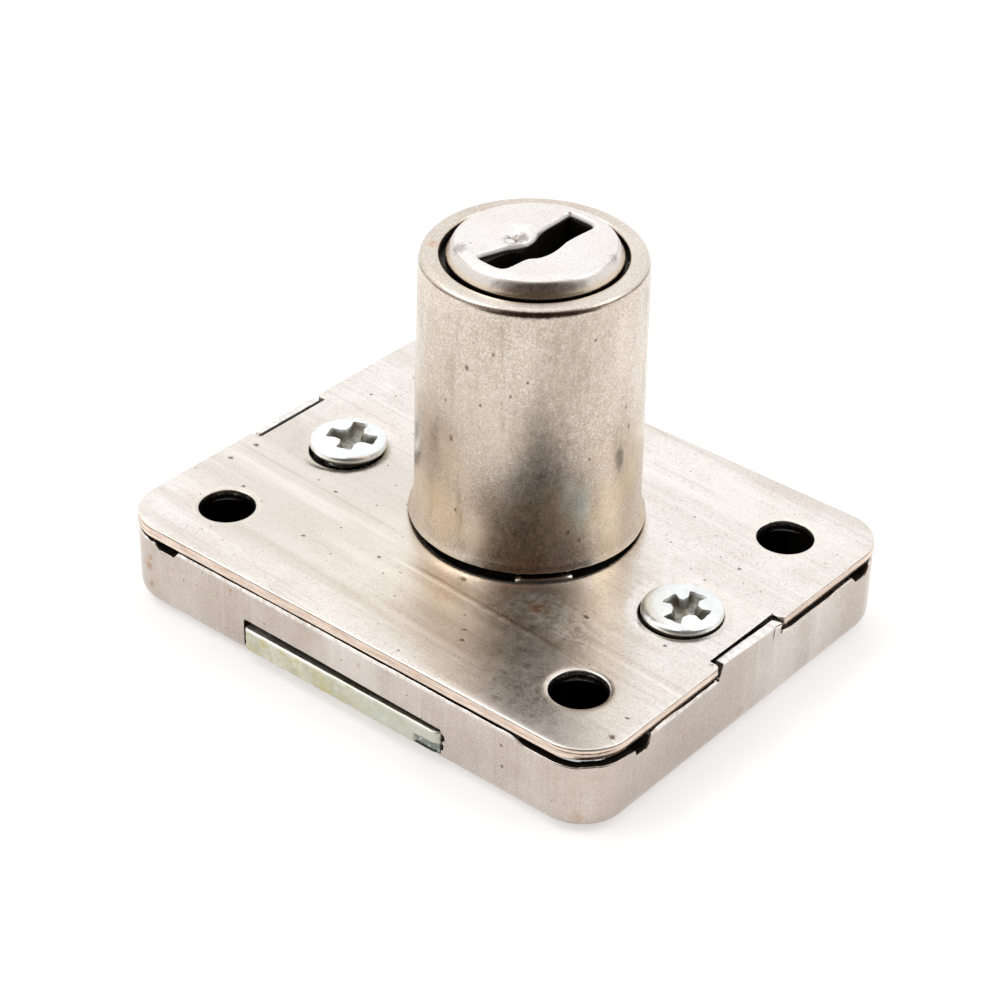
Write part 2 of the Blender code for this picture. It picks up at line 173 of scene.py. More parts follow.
def triangulate(outer, holes, rings, grid, extra=None):
    """Triangles over an outline with holes, dense near its edges. Returns the points, the triangles and, for each
    loop, its edges as (point, next point) with its unit normals away from the material."""
    outer = outer if loop_area(outer) > 0 else outer[::-1]
    holes = [h if loop_area(h) < 0 else h[::-1] for h in holes]
    loops = [outer] + holes
    edges, k, owner = [], 0, []
    for w, lp in enumerate(loops):
        n = len(lp)
        edges += [(k + i, k + (i + 1) % n) for i in range(n)]
        owner += [w] * n
        k += n
    fixed = np.vstack(loops)
    lo, hi = outer.min(0), outer.max(0)
    gx, gy = np.meshgrid(np.arange(lo[0], hi[0], grid), np.arange(lo[1], hi[1], grid))
    g = np.c_[gx.ravel(), gy.ravel()]
    g = g + RNG.uniform(-0.1, 0.1, g.shape) * grid
    free = [lp - loop_normals(lp) * r for lp in loops for r in rings]
    if extra is not None:
        free.append(extra)

    def clear(p, gap):
        keep = inside(p, outer)
        for h in holes:
            keep &= ~inside(p, h)
        p = p[keep]
        far = np.full(len(p), 1e9)
        for lp in loops:
            far = np.minimum(far, distance(p, lp))
        return p[far > gap]

    g = clear(g, (max(rings) if rings else 0) + grid * 0.45)
    if free:
        g = np.vstack([clear(np.vstack(free), (min(rings) if rings else grid) * 0.75), g])
    res = delaunay_2d_cdt([Vector(p) for p in np.vstack([fixed, g])], edges, [], 0, 1e-5, True)
    v2 = np.array([tuple(p) for p in res[0]])
    loop_of = {}
    for i, src in enumerate(res[3]):
        for q in src:
            if q < len(fixed):
                loop_of[i] = owner[q]
    tri = np.array([tuple(f) for f in res[2] if len(f) == 3])
    cen = v2[tri].mean(1)
    good = inside(cen, outer)
    for h in holes:
        good &= ~inside(cen, h)
    tri = tri[good]
    a, b, c = (v2[tri[:, i]] for i in range(3))
    area = (b[:, 0] - a[:, 0]) * (c[:, 1] - a[:, 1]) - (b[:, 1] - a[:, 1]) * (c[:, 0] - a[:, 0])
    tri[area < 0] = tri[area < 0][:, ::-1]
    seen = {(int(f[i]), int(f[(i + 1) % 3])) for f in tri for i in range(3)}
    rim = [[] for _ in loops]
    for i, j in sorted(e for e in seen if (e[1], e[0]) not in seen):
        rim[loop_of[i]].append((i, j))
    out = []
    for es in rim:
        nrm = {}
        for i, j in es:
            d = v2[j] - v2[i]
            m = np.array([d[1], -d[0]]) / max(float(np.hypot(*d)), 1e-9)
            for q in (i, j):
                nrm[q] = nrm.get(q, np.zeros(2)) + m
        ids = sorted(nrm)
        nn = np.array([nrm[q] / max(float(np.hypot(*nrm[q])), 1e-9) for q in ids])
        out.append((es, ids, nn))
    return v2, tri, out


def shell_piece(name, outer, holes, rings, grid, top_fn, bottom_fn, path_fn, extra=None, angle=35):
    """A pressed piece. top_fn and bottom_fn give heights over the outline; path_fn(loop, points, normals, z top,
    z bottom) gives the rows of points that join the two round one loop."""
    v2, tri, loops = triangulate(outer, holes, rings, grid, extra)
    n = len(v2)
    zt, zb = top_fn(v2), bottom_fn(v2)
    verts = [np.c_[v2, zt], np.c_[v2, zb]]
    faces = [tuple(f) for f in tri] + [tuple(int(i) + n for i in f[::-1]) for f in tri]
    base = 2 * n
    for w, (es, ids, nn) in enumerate(loops):
        rows = path_fn(w, v2[ids], nn, zt[ids], zb[ids])
        levels = [{q: q for q in ids}]
        for p in rows:
            verts.append(p)
            levels.append({q: base + i for i, q in enumerate(ids)})
            base += len(ids)
        levels.append({q: q + n for q in ids})
        for up, dn in zip(levels, levels[1:]):
            faces += [(up[j], up[i], dn[i], dn[j]) for i, j in es]
    return make_object(name, np.vstack(verts), faces, angle=angle)


def row(p, nn, out, z):
    """One row of an edge: the loop's points moved out along their normals, at a height."""
    out = np.broadcast_to(np.asarray(out, float), (len(p),))
    z = np.broadcast_to(np.asarray(z, float), (len(p),))
    return np.c_[p + nn * out[:, None], z]


def turned_piece(name, profile, cx, cy, segs, wobble=None, angle=35):
    """A turned closed ring: profile (r, z) is a closed loop, in millimetres. Points at r 0 close the piece."""
    prof = np.asarray(profile, float)
    t = np.arange(segs) / segs * 2 * np.pi
    verts, faces = [], []
    m = len(prof)
    for k in range(m):
        r, z = prof[k]
        rr = np.full(segs, r)
        zz = np.full(segs, z)
        if wobble is not None and r > 1e-6:
            dr, dz = wobble(t, r, z)
            rr, zz = rr + dr, zz + dz
        verts.append(np.c_[cx + rr * np.cos(t), cy + rr * np.sin(t), zz])
    for k in range(m):
        k2 = (k + 1) % m
        if prof[k][0] < 1e-6 and prof[k2][0] < 1e-6:
            continue
        for i in range(segs):
            j = (i + 1) % segs
            if prof[k][0] < 1e-6:
                faces.append((k * segs, k2 * segs + i, k2 * segs + j))
            elif prof[k2][0] < 1e-6:
                faces.append((k * segs + i, k2 * segs, k * segs + j))
            else:
                faces.append((k * segs + i, k2 * segs + i, k2 * segs + j, k * segs + j))
    v = np.vstack(verts)
    for k in range(m):  # points on the axis are one point
        if prof[k][0] < 1e-6:
            v[k * segs:(k + 1) * segs] = (cx, cy, prof[k][1])
    used = sorted({i for f in faces for i in f})
    new = {q: i for i, q in enumerate(used)}
    return make_object(name, v[used], [tuple(new[i] for i in f) for f in faces], angle=angle)


def wave(x, seed, scale):
    """Smooth 1-D noise, about -1 to 1, for an array."""
    return np.array([noise.noise(Vector((float(q) / scale, seed * 3.7, seed * 1.3))) for q in np.ravel(x)]).reshape(np.shape(x))


# ---- the mounting plate -------------------------------------------------------------------
PLATE_B = 0.14  # rounding of the plate's edges
PLATE_Z0 = P_LO[2] - 0.12
SCREW_L = np.array([(SL_LO[0] + SL_HI[0]) / 2 + 0.42, (SL_LO[1] + SL_HI[1]) / 2 + 0.22])
SCREW_R = np.array([(SR_LO[0] + SR_HI[0]) / 2 + 0.42, (SR_LO[1] + SR_HI[1]) / 2 - 0.3])
DISH_L = np.array([SCREW_L[0] - 0.20, SCREW_L[1] - 0.45])
DISH_R = SCREW_R + (0.05, -0.05)
BARREL_HOLE = (AX + 1.02, AY - 0.80)
BARREL_HOLE_R = 9.60
HOLES4 = [(sx * HOLE_X, sy * HOLE_Y) for sx in (-1, 1) for sy in (-1, 1)]


def plate_outline(b, r=4.3, notch=4.3, depth=1.1):
    hx, hy, rr = HX - b, HY - b, r - b
    nh, nx = notch + b, HX - depth - b
    k = 0.28
    pts = [[(hx, -hy + rr), (hx, -nh - k), (hx - 0.08, -nh - 0.1), (hx - k, -nh), (nx + k, -nh)]]
    pts.append(arc(nx + k, -nh + k, k, 270, 180, 3))
    pts.append(arc(nx + k, nh - k, k, 180, 90, 3))
    pts.append([(hx - k, nh), (hx - 0.08, nh + 0.1), (hx, nh + k)])
    pts.append(arc(hx - rr, hy - rr, rr, 0, 90, 26))
    pts.append(arc(-hx + rr, hy - rr, rr, 90, 180, 26))
    pts.append([(-hx, nh + k), (-hx + 0.08, nh + 0.1), (-hx + k, nh), (-nx - k, nh)])
    pts.append(arc(-nx - k, nh - k, k, 90, 0, 3))
    pts.append(arc(-nx - k, -nh + k, k, 0, -90, 3))
    pts.append([(-hx + k, -nh), (-hx + 0.08, -nh - 0.1), (-hx, -nh - k)])
    pts.append(arc(-hx + rr, -hy + rr, rr, 180, 270, 26))
    pts.append(arc(hx - rr, -hy + rr, rr, 270, 360, 26)[:-1])
    return respace(np.vstack([np.array(q, float) for q in pts]), 0.42)


def smoothstep(x, a, b):
    t = np.clip((x - a) / (b - a), 0, 1)
    return t * t * (3 - 2 * t)


def field(p, seed, scale):
    """Smooth 2-D noise at points, about -1 to 1; scale is in millimetres."""
    return np.array([noise.noise(Vector((float(x) / scale, float(y) / scale, seed * 5.13))) for x, y in p[:, :2]])


def plate_top(p):
    z = TOP + 0.018 * field(p, 1, 9.0) + 0.007 * field(p, 2, 2.6)
    z += 0.006 * np.array([noise.noise(Vector((float(x) / 30, float(y) / 0.9, 3.3))) for x, y in p])  # rolled lines along X
    for at, r0, r1, deep in ((DISH_L, 3.6, 4.95, 0.42), (DISH_R, 3.75, 4.5, 0.16)):
        d = np.hypot(p[:, 0] - at[0], p[:, 1] - at[1])
        t = np.clip((r1 - d) / (r1 - r0), 0, 1)
        z -= deep * t * t * (3 - 2 * t)
    for at in HOLES4:
        d = np.hypot(p[:, 0] - at[0], p[:, 1] - at[1])
        z -= 0.06 * np.clip((HOLE_R + 0.5 - d) / 0.4, 0, 1) ** 2
    d = np.hypot(p[:, 0] - BARREL_HOLE[0], p[:, 1] - BARREL_HOLE[1])
    z -= 0.14 * np.clip((BARREL_HOLE_R + 1.0 - d) / 0.8, 0, 1) ** 2
    # the sheared edge droops a little
    e = np.minimum(HX - np.abs(p[:, 0]), HY - np.abs(p[:, 1]))
    z -= 0.05 * np.clip((0.8 - e) / 0.8, 0, 1) ** 2
    return z


def plate_path(w, p, nn, zt, zb):
    b = PLATE_B if w < 6 else 0.2
    n1 = field(p, 4, 1.3) * 0.012
    rows = []
    for a in (25, 50, 75, 90):
        s = math.radians(a)
        rows.append(row(p, nn, b * math.sin(s) + n1 * math.sin(s), zt - b * (1 - math.cos(s))))
    # a groove under the burnished lip, then the torn band of the shear
    for h, o in ((0.30, 0.0), (0.36, -0.03), (0.42, 0.015), (0.60, 0.04), (0.68, 0.035), (0.85, 0.02)):
        back_off = 0.34 * smoothstep(nn[:, 0], 0.3, 0.8) * smoothstep(h, 0.58, 0.8) if w == 0 else 0.0
        rows.append(row(p, nn, b + n1 + o * (1 if w == 0 else 0.4) - back_off + 0.02 * field(p, 5 + h * 10, 0.7), zt + (zb - zt) * h))
    rows.append(row(p, nn, b - 0.03 + n1 - (0.36 * smoothstep(nn[:, 0], 0.3, 0.8) if w == 0 else 0.0), zb + 0.05))
    return rows


plate_holes = [circle(x, y, HOLE_R + PLATE_B, 72) for x, y in HOLES4]
plate_holes += [circle(DISH_L[0] + 0.40, DISH_L[1] - 0.06, 3.44, 80), circle(DISH_R[0] - 0.05, DISH_R[1] - 0.12, 3.74, 80)]
plate_holes.append(circle(BARREL_HOLE[0], BARREL_HOLE[1], BARREL_HOLE_R + 0.2, 180))
plate = shell_piece("cover_plate_skin", plate_outline(PLATE_B), plate_holes, (0.12, 0.3, 0.6), 0.5,
                    plate_top, lambda p: np.full(len(p), PLATE_Z0), plate_path)

# ---- the pressed case ------------------------------------------------------------------
RIM = 6.98  # usual top of its wall
TAB_HALF = 4.0


def rim_height(p, n2):
    """The wall's top edge: staked tabs, stepped corner reliefs and the tears beside the tabs."""
    x, y = p[:, 0], p[:, 1]
    z = np.full(len(p), RIM) + 0.05 * field(p, 11, 3.0) + 0.03 * field(p, 12, 0.8)
    front = (n2[:, 1] < -0.8)  # the bolt's wall
    right = (n2[:, 0] > 0.8)
    left = (n2[:, 0] < -0.8)
    back = (n2[:, 1] > 0.8)
    # bolt wall: a gap that widens towards its right end
    z = np.where(front, z - 0.10 * smoothstep(x, -4, 17), z)
    z -= np.where(front | ((x < -20) & (y < -14)), 0.13 * (1 - smoothstep(x, -22.6, -21.6)), 0)
    z -= np.where(front, 0.78 * (0.25 * smoothstep(x, -22.9, -22.4) + 0.75 * smoothstep(x, -21.9, -21.1)) * (1 - smoothstep(x, -19.7, -18.8)), 0)
    z -= np.where(y < -12, 0.40 * smoothstep(x, 17.9, 19.6), 0) * np.where(y < -13.4, 1, 0)
    # right-hand front corner: a scooped relief that steps up on the short wall
    c = (x > 18) & (y < -13.4)
    arcpos = np.clip((x - 20) / 6, 0, 1) + np.clip((y + 17) / 5, 0, 1)
    z -= np.where(c & ~front, 0.30 * smoothstep(arcpos, 0.9, 1.5), 0)
    z -= np.where(right & (y > -15.2) & (y < -13.4), 0.55 * smoothstep(-y, 13.4, 14.1), 0)
    # right-hand back corner
    z -= np.where(right | (n2[:, 0] > 0.3) & (y > 0), 0.80 * smoothstep(y, 14.7, 15.7) * (1 - smoothstep(y, 16.6, 17.8)), 0)
    z -= np.where(right, 0.07 + 0.30 * smoothstep(y, 4.4, 6.2) * (1 - 0.4 * smoothstep(y, 11, 13.5)), 0)
    z += np.where(right & (y < -8), 0.16 * smoothstep(-y, 8, 11) * (1 - smoothstep(-y, 12.5, 13.4)), 0)
    # left-hand corners and back wall
    z -= np.where(left & (np.abs(y) > 14.4) & (np.abs(y) < 16.6), 0.6, 0)
    z -= np.where(back & (np.abs(x) > 18.8) & (np.abs(x) < 21.6), 0.5, 0)
    # staked tabs
    tab_r = right * smoothstep(TAB_HALF - np.abs(y), -0.12, 0.12)
    top_r = TOP - 0.08 - 0.10 * smoothstep(y, -1, 4) + 0.04 * field(p, 13, 0.6)
    z = np.where(tab_r > 0, z + (top_r - z) * tab_r, z)
    tab_l = left * smoothstep(TAB_HALF - np.abs(y), -0.12, 0.12)
    top_l = TOP - 0.06 + 0.03 * field(p, 14, 0.8)
    z = np.where(tab_l > 0, z + (top_l - z) * tab_l, z)
    # little torn notches just outside each tab
    for s in (-1, 1):
        z -= np.where(right | left, 0.35 * np.clip(1 - np.abs(y - s * (TAB_HALF + 0.3)) / 0.3, 0, 1), 0)
    return z


def case_loop(inset, step):
    hx, hy, r = T_HI[0] - inset, T_HI[1] - inset, 4.3 - inset
    hx, hy = HX - inset, HY - inset
    pts = [arc(hx - r, -hy + r, r, 270, 360, 34), arc(hx - r, hy - r, r, 0, 90, 34),
           arc(-hx + r, hy - r, r, 90, 180, 34), arc(-hx + r, -hy + r, r, 180, 270, 34)]
    return respace(np.vstack(pts), step)


def case_path(w, p, nn, zt, zb):
    if w == 0:
        fil_in, wall, fil = 0.6, 0.9, 1.5
        n2 = nn
        zr = rim_height(p + nn * fil, n2)
        lean = 0.0
        outer = p + nn * fil
        right = (nn[:, 0] > 0.8) & (np.abs(outer[:, 1]) < TAB_HALF + 0.1)
        lean = np.where(right, 0.13 * smoothstep(outer[:, 1], -4.0, 1.5), 0.0)  # the right tab leans out
        burr = np.where(right, np.clip(1 - np.abs(outer[:, 1] - 3.62) / 0.42, 0, 1) ** 0.7, 0)
        swell = 0.07 * field(outer, 21, 9.0) + 0.014 * field(outer, 22, 3.0)
        rows = []
        for a in (18, 36, 54, 72, 90):
            s = math.radians(a)
            rows.append(row(p, nn, fil_in * math.sin(s), 1.5 - fil_in * math.cos(s)))
        for h in (0.35, 0.7, 0.9):
            rows.append(row(p, nn, fil_in + swell * h, 1.5 + (zr - 1.5) * h))
        k = 0.13
        over = lean * smoothstep(zr, RIM, TOP)
        for a in (0, 30, 60, 85):  # inner corner of the rim
            s = math.radians(a)
            rows.append(row(p, nn, fil_in + swell + over + k * (1 - math.cos(s)), zr - k * (1 - math.sin(s))))
        rows.append(row(p, nn, (fil_in + fil) / 2 + swell + over + 0.1 * burr, zr + 0.02 * field(outer, 23, 0.4) + 0.12 * burr))
        for a in (85, 60, 30, 0):  # outer corner
            s = math.radians(a)
            rows.append(row(p, nn, fil + swell + over - k * (1 - math.cos(s)) + 0.30 * burr, zr - k * (1 - math.sin(s)) + 0.24 * burr))
        n_rows = 16
        for i in range(1, n_rows + 1):
            f = i / n_rows
            z = zr - k - (zr - k - 1.5) * f
            lo = lean * smoothstep(z, RIM - 1.2, TOP)
            rows.append(row(p, nn, fil + swell * (1 - f * 0.6) + lo + 0.22 * burr * smoothstep(z, RIM - 0.5, TOP), z))
        for a in np.arange(75, -1, -12.5):
            s = math.radians(max(a, 0))
            rows.append(row(p, nn, fil * math.sin(s) + swell * 0.4 * math.sin(s), 1.5 - fil * math.cos(s)))
        return rows[:-1] if abs(rows[-1][0, 2]) < 1e-9 else rows
    if w in (5, 6):  # the collars that take the screws
        r_in, up = 0.9, 3.1
        return [row(p, nn, 0, 1.2), row(p, nn, 0, up - 0.15), row(p, nn, 0.15, up), row(p, nn, r_in - 0.12, up),
                row(p, nn, r_in, up - 0.12), row(p, nn, r_in, 0.12), row(p, nn, r_in - 0.1, 0.0)]
    b = 0.12
    return [row(p, nn, b * 0.7, zt - b * 0.3), row(p, nn, b, zt - b), row(p, nn, b, zb + b), row(p, nn, b * 0.7, zb + b * 0.3)]


case_holes = [circle(x, y, 2.62, 56) for x, y in HOLES4]
case_holes += [circle((SL_LO[0] + SL_HI[0]) / 2 + 0.1, 0.1, 3.1, 56), circle((SR_LO[0] + SR_HI[0]) / 2 + 0.1, -0.07, 3.1, 56)]
case = shell_piece("case_tray_skin", case_loop(1.5, 0.2), case_holes, (0.3, 0.8), 1.6,
                   lambda p: np.full(len(p), 0.9) + 0.01 * field(p, 31, 5), lambda p: -0.0 + 0.012 * np.abs(field(p, 32, 6)), case_path)

# the bolt's slot, with a torn right end
sx0, sx1, sz0, sz1 = -11.22, 11.2, 0.98, 3.86
slot_loop = [(sx0, sz0 + 0.25), (sx0 + 0.25, sz0), (-4, sz0 - 0.02), (4, sz0 + 0.02), (sx1 - 0.7, sz0), (sx1 - 0.35, sz0 + 0.12),
             (sx1 - 0.28, sz0 + 0.5), (sx1 - 0.05, sz0 + 0.62), (sx1, sz0 + 1.1), (sx1 - 0.22, sz0 + 1.32), (sx1 + 0.12, sz0 + 1.7),
             (sx1 + 0.05, sz0 + 2.1), (sx1 - 0.3, sz0 + 2.3), (sx1 - 0.42, sz1 - 0.28), (sx1 - 0.7, sz1 - 0.32), (4, sz1 - 0.18), (-4, sz1 - 0.05),
             (sx0 + 0.2, sz1), (sx0, sz1 - 0.2)]
n = len(slot_loop)
sv = [(x, -HY - 1, z) for x, z in slot_loop] + [(x, -HY + 2.2, z) for x, z in slot_loop]
sf = [tuple(range(n)), tuple(range(2 * n - 1, n - 1, -1))] + [(i, n + i, n + (i + 1) % n, (i + 1) % n) for i in range(n)]
slot_cutter = make_object("slot_cutter", sv, sf, smooth=False)
case = cut(case, [slot_cutter], angle=32)

# ---- the barrel's sleeve -------------------------------------------------------------------
# Profile heights come from its CAD box: the outside, the rounded top, the flat lip, then back down inside.
zt, zb = S_HI[2], 8.32
prof = [(10.26, zb), (10.33, zb + 0.10), (10.30, zb + 0.24), (10.17, zb + 0.45), (10.05, zb + 0.8), (9.96, zb + 1.3), (9.89, zb + 2.1)]
for z in np.linspace(11.4, zt - 2.4, 30):
    prof.append((float(np.interp(z, [11.4, 19, 26, zt - 2.4], [9.85, 9.79, 9.70, 9.64])), float(z)))
prof += [(9.62, zt - 1.9), (9.59, zt - 1.4), (9.57, zt - 1.0)]
rt = 0.62
for a in (8, 20, 32, 44, 56, 68, 80):
    s = math.radians(a)
    prof.append((9.56 - rt + rt * math.cos(s), zt - 0.03 - rt + rt * math.sin(s)))
prof += [(8.88, zt - 0.005), (8.66, zt - 0.02), (8.5, zt - 0.01), (8.2, zt), (8.03, zt - 0.02), (7.92, zt - 0.08), (7.86, zt - 0.2),
         (7.85, zt - 0.55), (7.92, zt - 0.72), (8.1, zt - 0.78)]
prof += [(8.55, zt - 0.8), (8.72, zt - 0.95), (8.78, zt - 1.3)]
prof += [(8.80, 26.0), (8.86, 19.0), (8.95, 11.4), (9.1, zb + 1.8), (9.3, zb + 0.9), (9.55, zb + 0.4), (9.75, zb)]


def sleeve_wobble(t, r, z):
    q = np.c_[np.cos(t) * 9.7, np.sin(t) * 9.7]
    out = r > 9.3
    dr = np.zeros(len(t))
    if out:
        dr = np.array([noise.noise(Vector((a / 7, b / 7, z / 9))) for a, b in q]) * 0.03
        dr += np.array([noise.noise(Vector((a / 2.2 + 9, b / 2.2, z / 3.5))) for a, b in q]) * 0.010
        if z < zb + 0.3:
            dr += np.array([noise.noise(Vector((a / 1.1, b / 1.1, 4.4))) for a, b in q]) * 0.03
    dz = np.zeros(len(t))
    if z < zb + 0.3:
        dz = np.array([noise.noise(Vector((a / 4.0, b / 4.0, 8.1))) for a, b in q]) * 0.05
    if z < zb + 2.5:
        dz = dz + 0.28 * np.clip(np.cos(t + 1.48), 0, 1) ** 0.8 * min(1.0, 1 - (z - zb) / 2.5)
    if z > zt - 3:
        dz = dz + 0.20 * (1 - np.cos(t + 0.89)) * min(1.0, (z - zt + 3) / 2.4)  # the lip sits a hair high at the back
    if z > zt - 0.3 and r < 9.0:
        dz = dz + np.array([noise.noise(Vector((a / 5.0, b / 5.0, 2.1))) for a, b in q]) * 0.015
    return dr, dz


sleeve = turned_piece("barrel_sleeve_skin", prof, AX + 0.15, AY + 0.03, 256, sleeve_wobble, angle=42)
# the end of the swaged lug that shows in the gap in front of the barrel
lug_prof = [(10.40, 7.40), (10.32, 7.66), (10.02, 7.96), (9.60, 8.02), (9.40, 7.40)]
lug_at = np.radians(np.linspace(-56, -28, 13))
lug_v, lug_f, k = [], [], len(lug_prof)
for i, t in enumerate(lug_at):
    end = 0.10 * (i in (0, 12))
    lug_v += [(AX + 0.15 + (r - end) * math.cos(t), AY + 0.03 + (r - end) * math.sin(t), z - end * 0.5) for r, z in lug_prof]
for i in range(len(lug_at) - 1):
    lug_f += [(i * k + j, (i + 1) * k + j, (i + 1) * k + (j + 1) % k, i * k + (j + 1) % k) for j in range(k)]
lug_f += [tuple(range(k)), tuple((len(lug_at) - 1) * k + j for j in range(k - 1, -1, -1))]
sleeve = cut(sleeve, [make_object("sleeve_lug", lug_v, lug_f, smooth=False)], "UNION", angle=42)

# ---- the plug's cap ----------------------------------------------------------------------
KEY = np.array([(-1.8, -5.35), (1.15, -5.6), (1.4, -4.8), (1.5, -2.8), (2.2, -2.05), (2.45, -1.0), (2.4, 0.1), (2.1, 1.5), (2.15, 3.2),
                (2.32, 5.5), (-0.50, 5.64), (-0.70, 5.44), (-0.62, 4.2), (-0.65, 2.6), (-0.45, 1.3), (0.05, 0.1), (0.05, -0.9), (-0.35, -1.7), (-0.85, -2.4), (-1.32, -3.85)], float)


def chaikin(loop, times, share=0.25):
    for _ in range(times):
        a, b = loop, np.roll(loop, -1, 0)
        loop = np.stack([a + (b - a) * share, b - (b - a) * share], 1).reshape(-1, 2)
    return loop


key_loop = respace(chaikin(KEY, 3, 0.2), 0.2) + (AX, AY)
key_loop = key_loop[::-1] if loop_area(key_loop) < 0 else key_loop  # counter-clockwise
key_open = key_loop + loop_normals(key_loop) * 0.25  # where the rolled edge starts, in the cap's flat
CT = C_HI[2]


def cap_top(p):
    u, v = p[:, 0] - AX, p[:, 1] - AY
    z = CT + 0.012 * field(p, 41, 3.0) - 0.06
    d = np.hypot((u + 1.35) / 0.95, (v - 0.45) / 1.35)
    z += 0.48 * np.exp(-(d ** 3.0) * 1.25)  # the raised lip beside the keyway's waist
    d = np.hypot((u + 1.3) / 0.6, (v + 1.35) / 0.55)
    z -= 0.20 * np.exp(-d ** 2 * 1.6)
    d = np.hypot((u - 3.4) / 0.75, (v - 0.3) / 2.2)
    z += 0.10 * np.exp(-d ** 2 * 1.6)  # a shallower ridge on the other side
    r = np.hypot(u - 0.22, v - 0.06)
    z += 0.05 * smoothstep(r, 5.2, 6.0) - 0.13 * smoothstep(r, 6.02, 6.62)
    return z


def cap_path(w, p, nn, zt_, zb_):
    if w == 0:
        rows = []
        for o, dz in ((0.10, -0.19), (0.20, -0.265), (0.285, -0.36), (0.355, -0.48), (0.425, -0.62), (0.50, -0.78), (0.575, -0.93), (0.65, -1.07), (0.73, -1.19), (0.79, -1.31),
                      (0.82, -1.6), (0.81, C_LO[2] - CT + 0.12), (0.78, C_LO[2] - CT + 0.02), (0.55, C_LO[2] - CT), (0.46, C_LO[2] - CT + 0.08),
                      (0.40, -1.5), (0.36, -1.0), (0.24, -0.78), (0.10, -0.66)):
            rough = 0.012 * field(p, 43 + o, 0.5)
            rows.append(row(p, nn, o + rough * (0.2 < o < 0.8), CT - 0.01 + dz + rough * 0.5))
        return rows
    rows = []
    if len(p) == len(key_loop):  # each point goes straight to its place on the keyway's own outline
        nn = (key_loop[::-1] - p[:, :2]) / 0.25
    for o, dz in ((0.03, 0.010), (0.06, 0.03), (0.10, 0.07), (0.145, 0.125), (0.19, 0.19), (0.23, 0.26), (0.247, 0.33)):
        rows.append(row(p, nn, o, zt_ - dz))
    rows.append(row(p, nn, 0.25, zb_ + 0.10))
    rows.append(row(p, nn, 0.22, zb_ + 0.03))
    return rows


cap = shell_piece("plug_cap_skin", circle(AX + 0.22, AY + 0.06, 6.6, 200), [key_open[::-1]], (0.1, 0.22, 0.4), 0.24, cap_top,
                  lambda p: cap_top(p) * 0 + CT - 0.62, cap_path, angle=50)


# ---- screws ----------------------------------------------------------------------------------
def screw(name, at, arms, z_low, z_top, shank_at, half=0.78, waist=0.62, root=1.0, off=(0.0, 0.0)):
    h = z_top
    cx, cy = at[0] + off[0], at[1] + off[1]
    prof_ = [(0, h), (1.2, h), (2.3, h - 0.02), (2.9, h - 0.06), (3.2, h - 0.13), (3.38, h - 0.24), (3.46, h - 0.38), (3.48, h - 0.55),
             (3.45, h - 0.80), (3.36, h - 0.96), (3.2, h - 1.05), (2.2, h - 1.1)]
    head_end = len(prof_)
    head = turned_piece(name, prof_ + [(0, h - 1.1)], at[0], at[1], 96,
                        lambda t, r, z: (0.02 * wave(t * 3.3 * r / 3, 3 + at[0], 1.1), 0.012 * wave(t * r, 9 + at[0], 1.3)), angle=40)
    # the cross recess: four flared, tapering arms
    levels = []
    for dz, k_tip, k_w, k_n in ((0.2, 1.08, 1.15, 1.1), (-0.25, 1.0, 1.0, 1.0), (-0.8, 0.80, 0.72, 0.86), (-1.45, 0.42, 0.5, 0.62)):
        pts = []
        for k, (ang, reach) in enumerate(arms):
            a0 = math.radians(ang)
            a1 = math.radians(arms[(k + 1) % 4][0] + (360 if k == 3 else 0))
            c, s = math.cos(a0), math.sin(a0)
            tip, hw = reach * k_tip, half * k_w
            for u, v in ((tip * 0.60, -hw * waist), (tip * 0.94, -hw), (tip * 0.99, -hw * 0.55), (tip * 0.97, 0.0), (tip * 1.0, hw * 0.55),
                         (tip * 0.95, hw), (tip * 0.60, hw * waist)):
                pts.append((cx + u * c - v * s, cy + u * s + v * c, h + dz))
            mid = (a0 + a1) / 2
            pts.append((cx + root * k_n * math.cos(mid), cy + root * k_n * math.sin(mid), h + dz))
        levels.append(pts)
    m = len(levels[0])
    v = [q for lv in levels for q in lv] + [(cx, cy, h - 1.75)]
    f = [tuple(range(m))]
    for k in range(len(levels) - 1):
        f += [(k * m + i, (k + 1) * m + i, (k + 1) * m + (i + 1) % m, k * m + (i + 1) % m) for i in range(m)]
    last = (len(levels) - 1) * m
    f += [(last + i, len(v) - 1, last + (i + 1) % m) for i in range(m)]
    recess = make_object(name + "_recess", v, f, smooth=False)
    # the thread is cut round a real helix
    zs = np.arange(h - 0.9, z_low + 0.25, -0.07)
    shank = [(0, h - 0.9)] + [(1.72, float(z)) for z in zs] + [(1.2, z_low), (0, z_low)]

    def helix(t, r, z):
        if not 1.6 < r < 1.9 or z > h - 1.6:
            return np.zeros(len(t)), np.zeros(len(t))
        ph = (z / 0.7 + t / (2 * np.pi)) % 1.0
        return 0.26 * np.clip(1 - np.abs(ph - 0.5) / 0.34, 0, 1) * min(1.0, (z - z_low) / 0.6 + 0.2), np.zeros(len(t))

    shank_ob = turned_piece(name + "_shank", shank, shank_at[0], shank_at[1], 40, helix, angle=30)
    cut(head, [recess], angle=28)
    return cut(head, [shank_ob], "UNION", angle=28)


screw_l = screw("screw_left_skin", SCREW_L, ((24, 2.2), (112, 2.35), (203, 2.2), (292, 2.1)), SL_LO[2], SL_HI[2] + 0.28, ((SL_LO[0] + SL_HI[0]) / 2 + 0.1, 0.1),
                half=0.70, waist=0.86, root=1.12, off=(0.23, 0.22))
screw_r = screw("screw_right_skin", SCREW_R, ((6, 2.0), (97, 2.2), (176, 1.85), (276, 2.2)), SR_LO[2], SR_HI[2] + 0.20, ((SR_LO[0] + SR_HI[0]) / 2 + 0.1, -0.07),
                off=(0.38, -0.10))

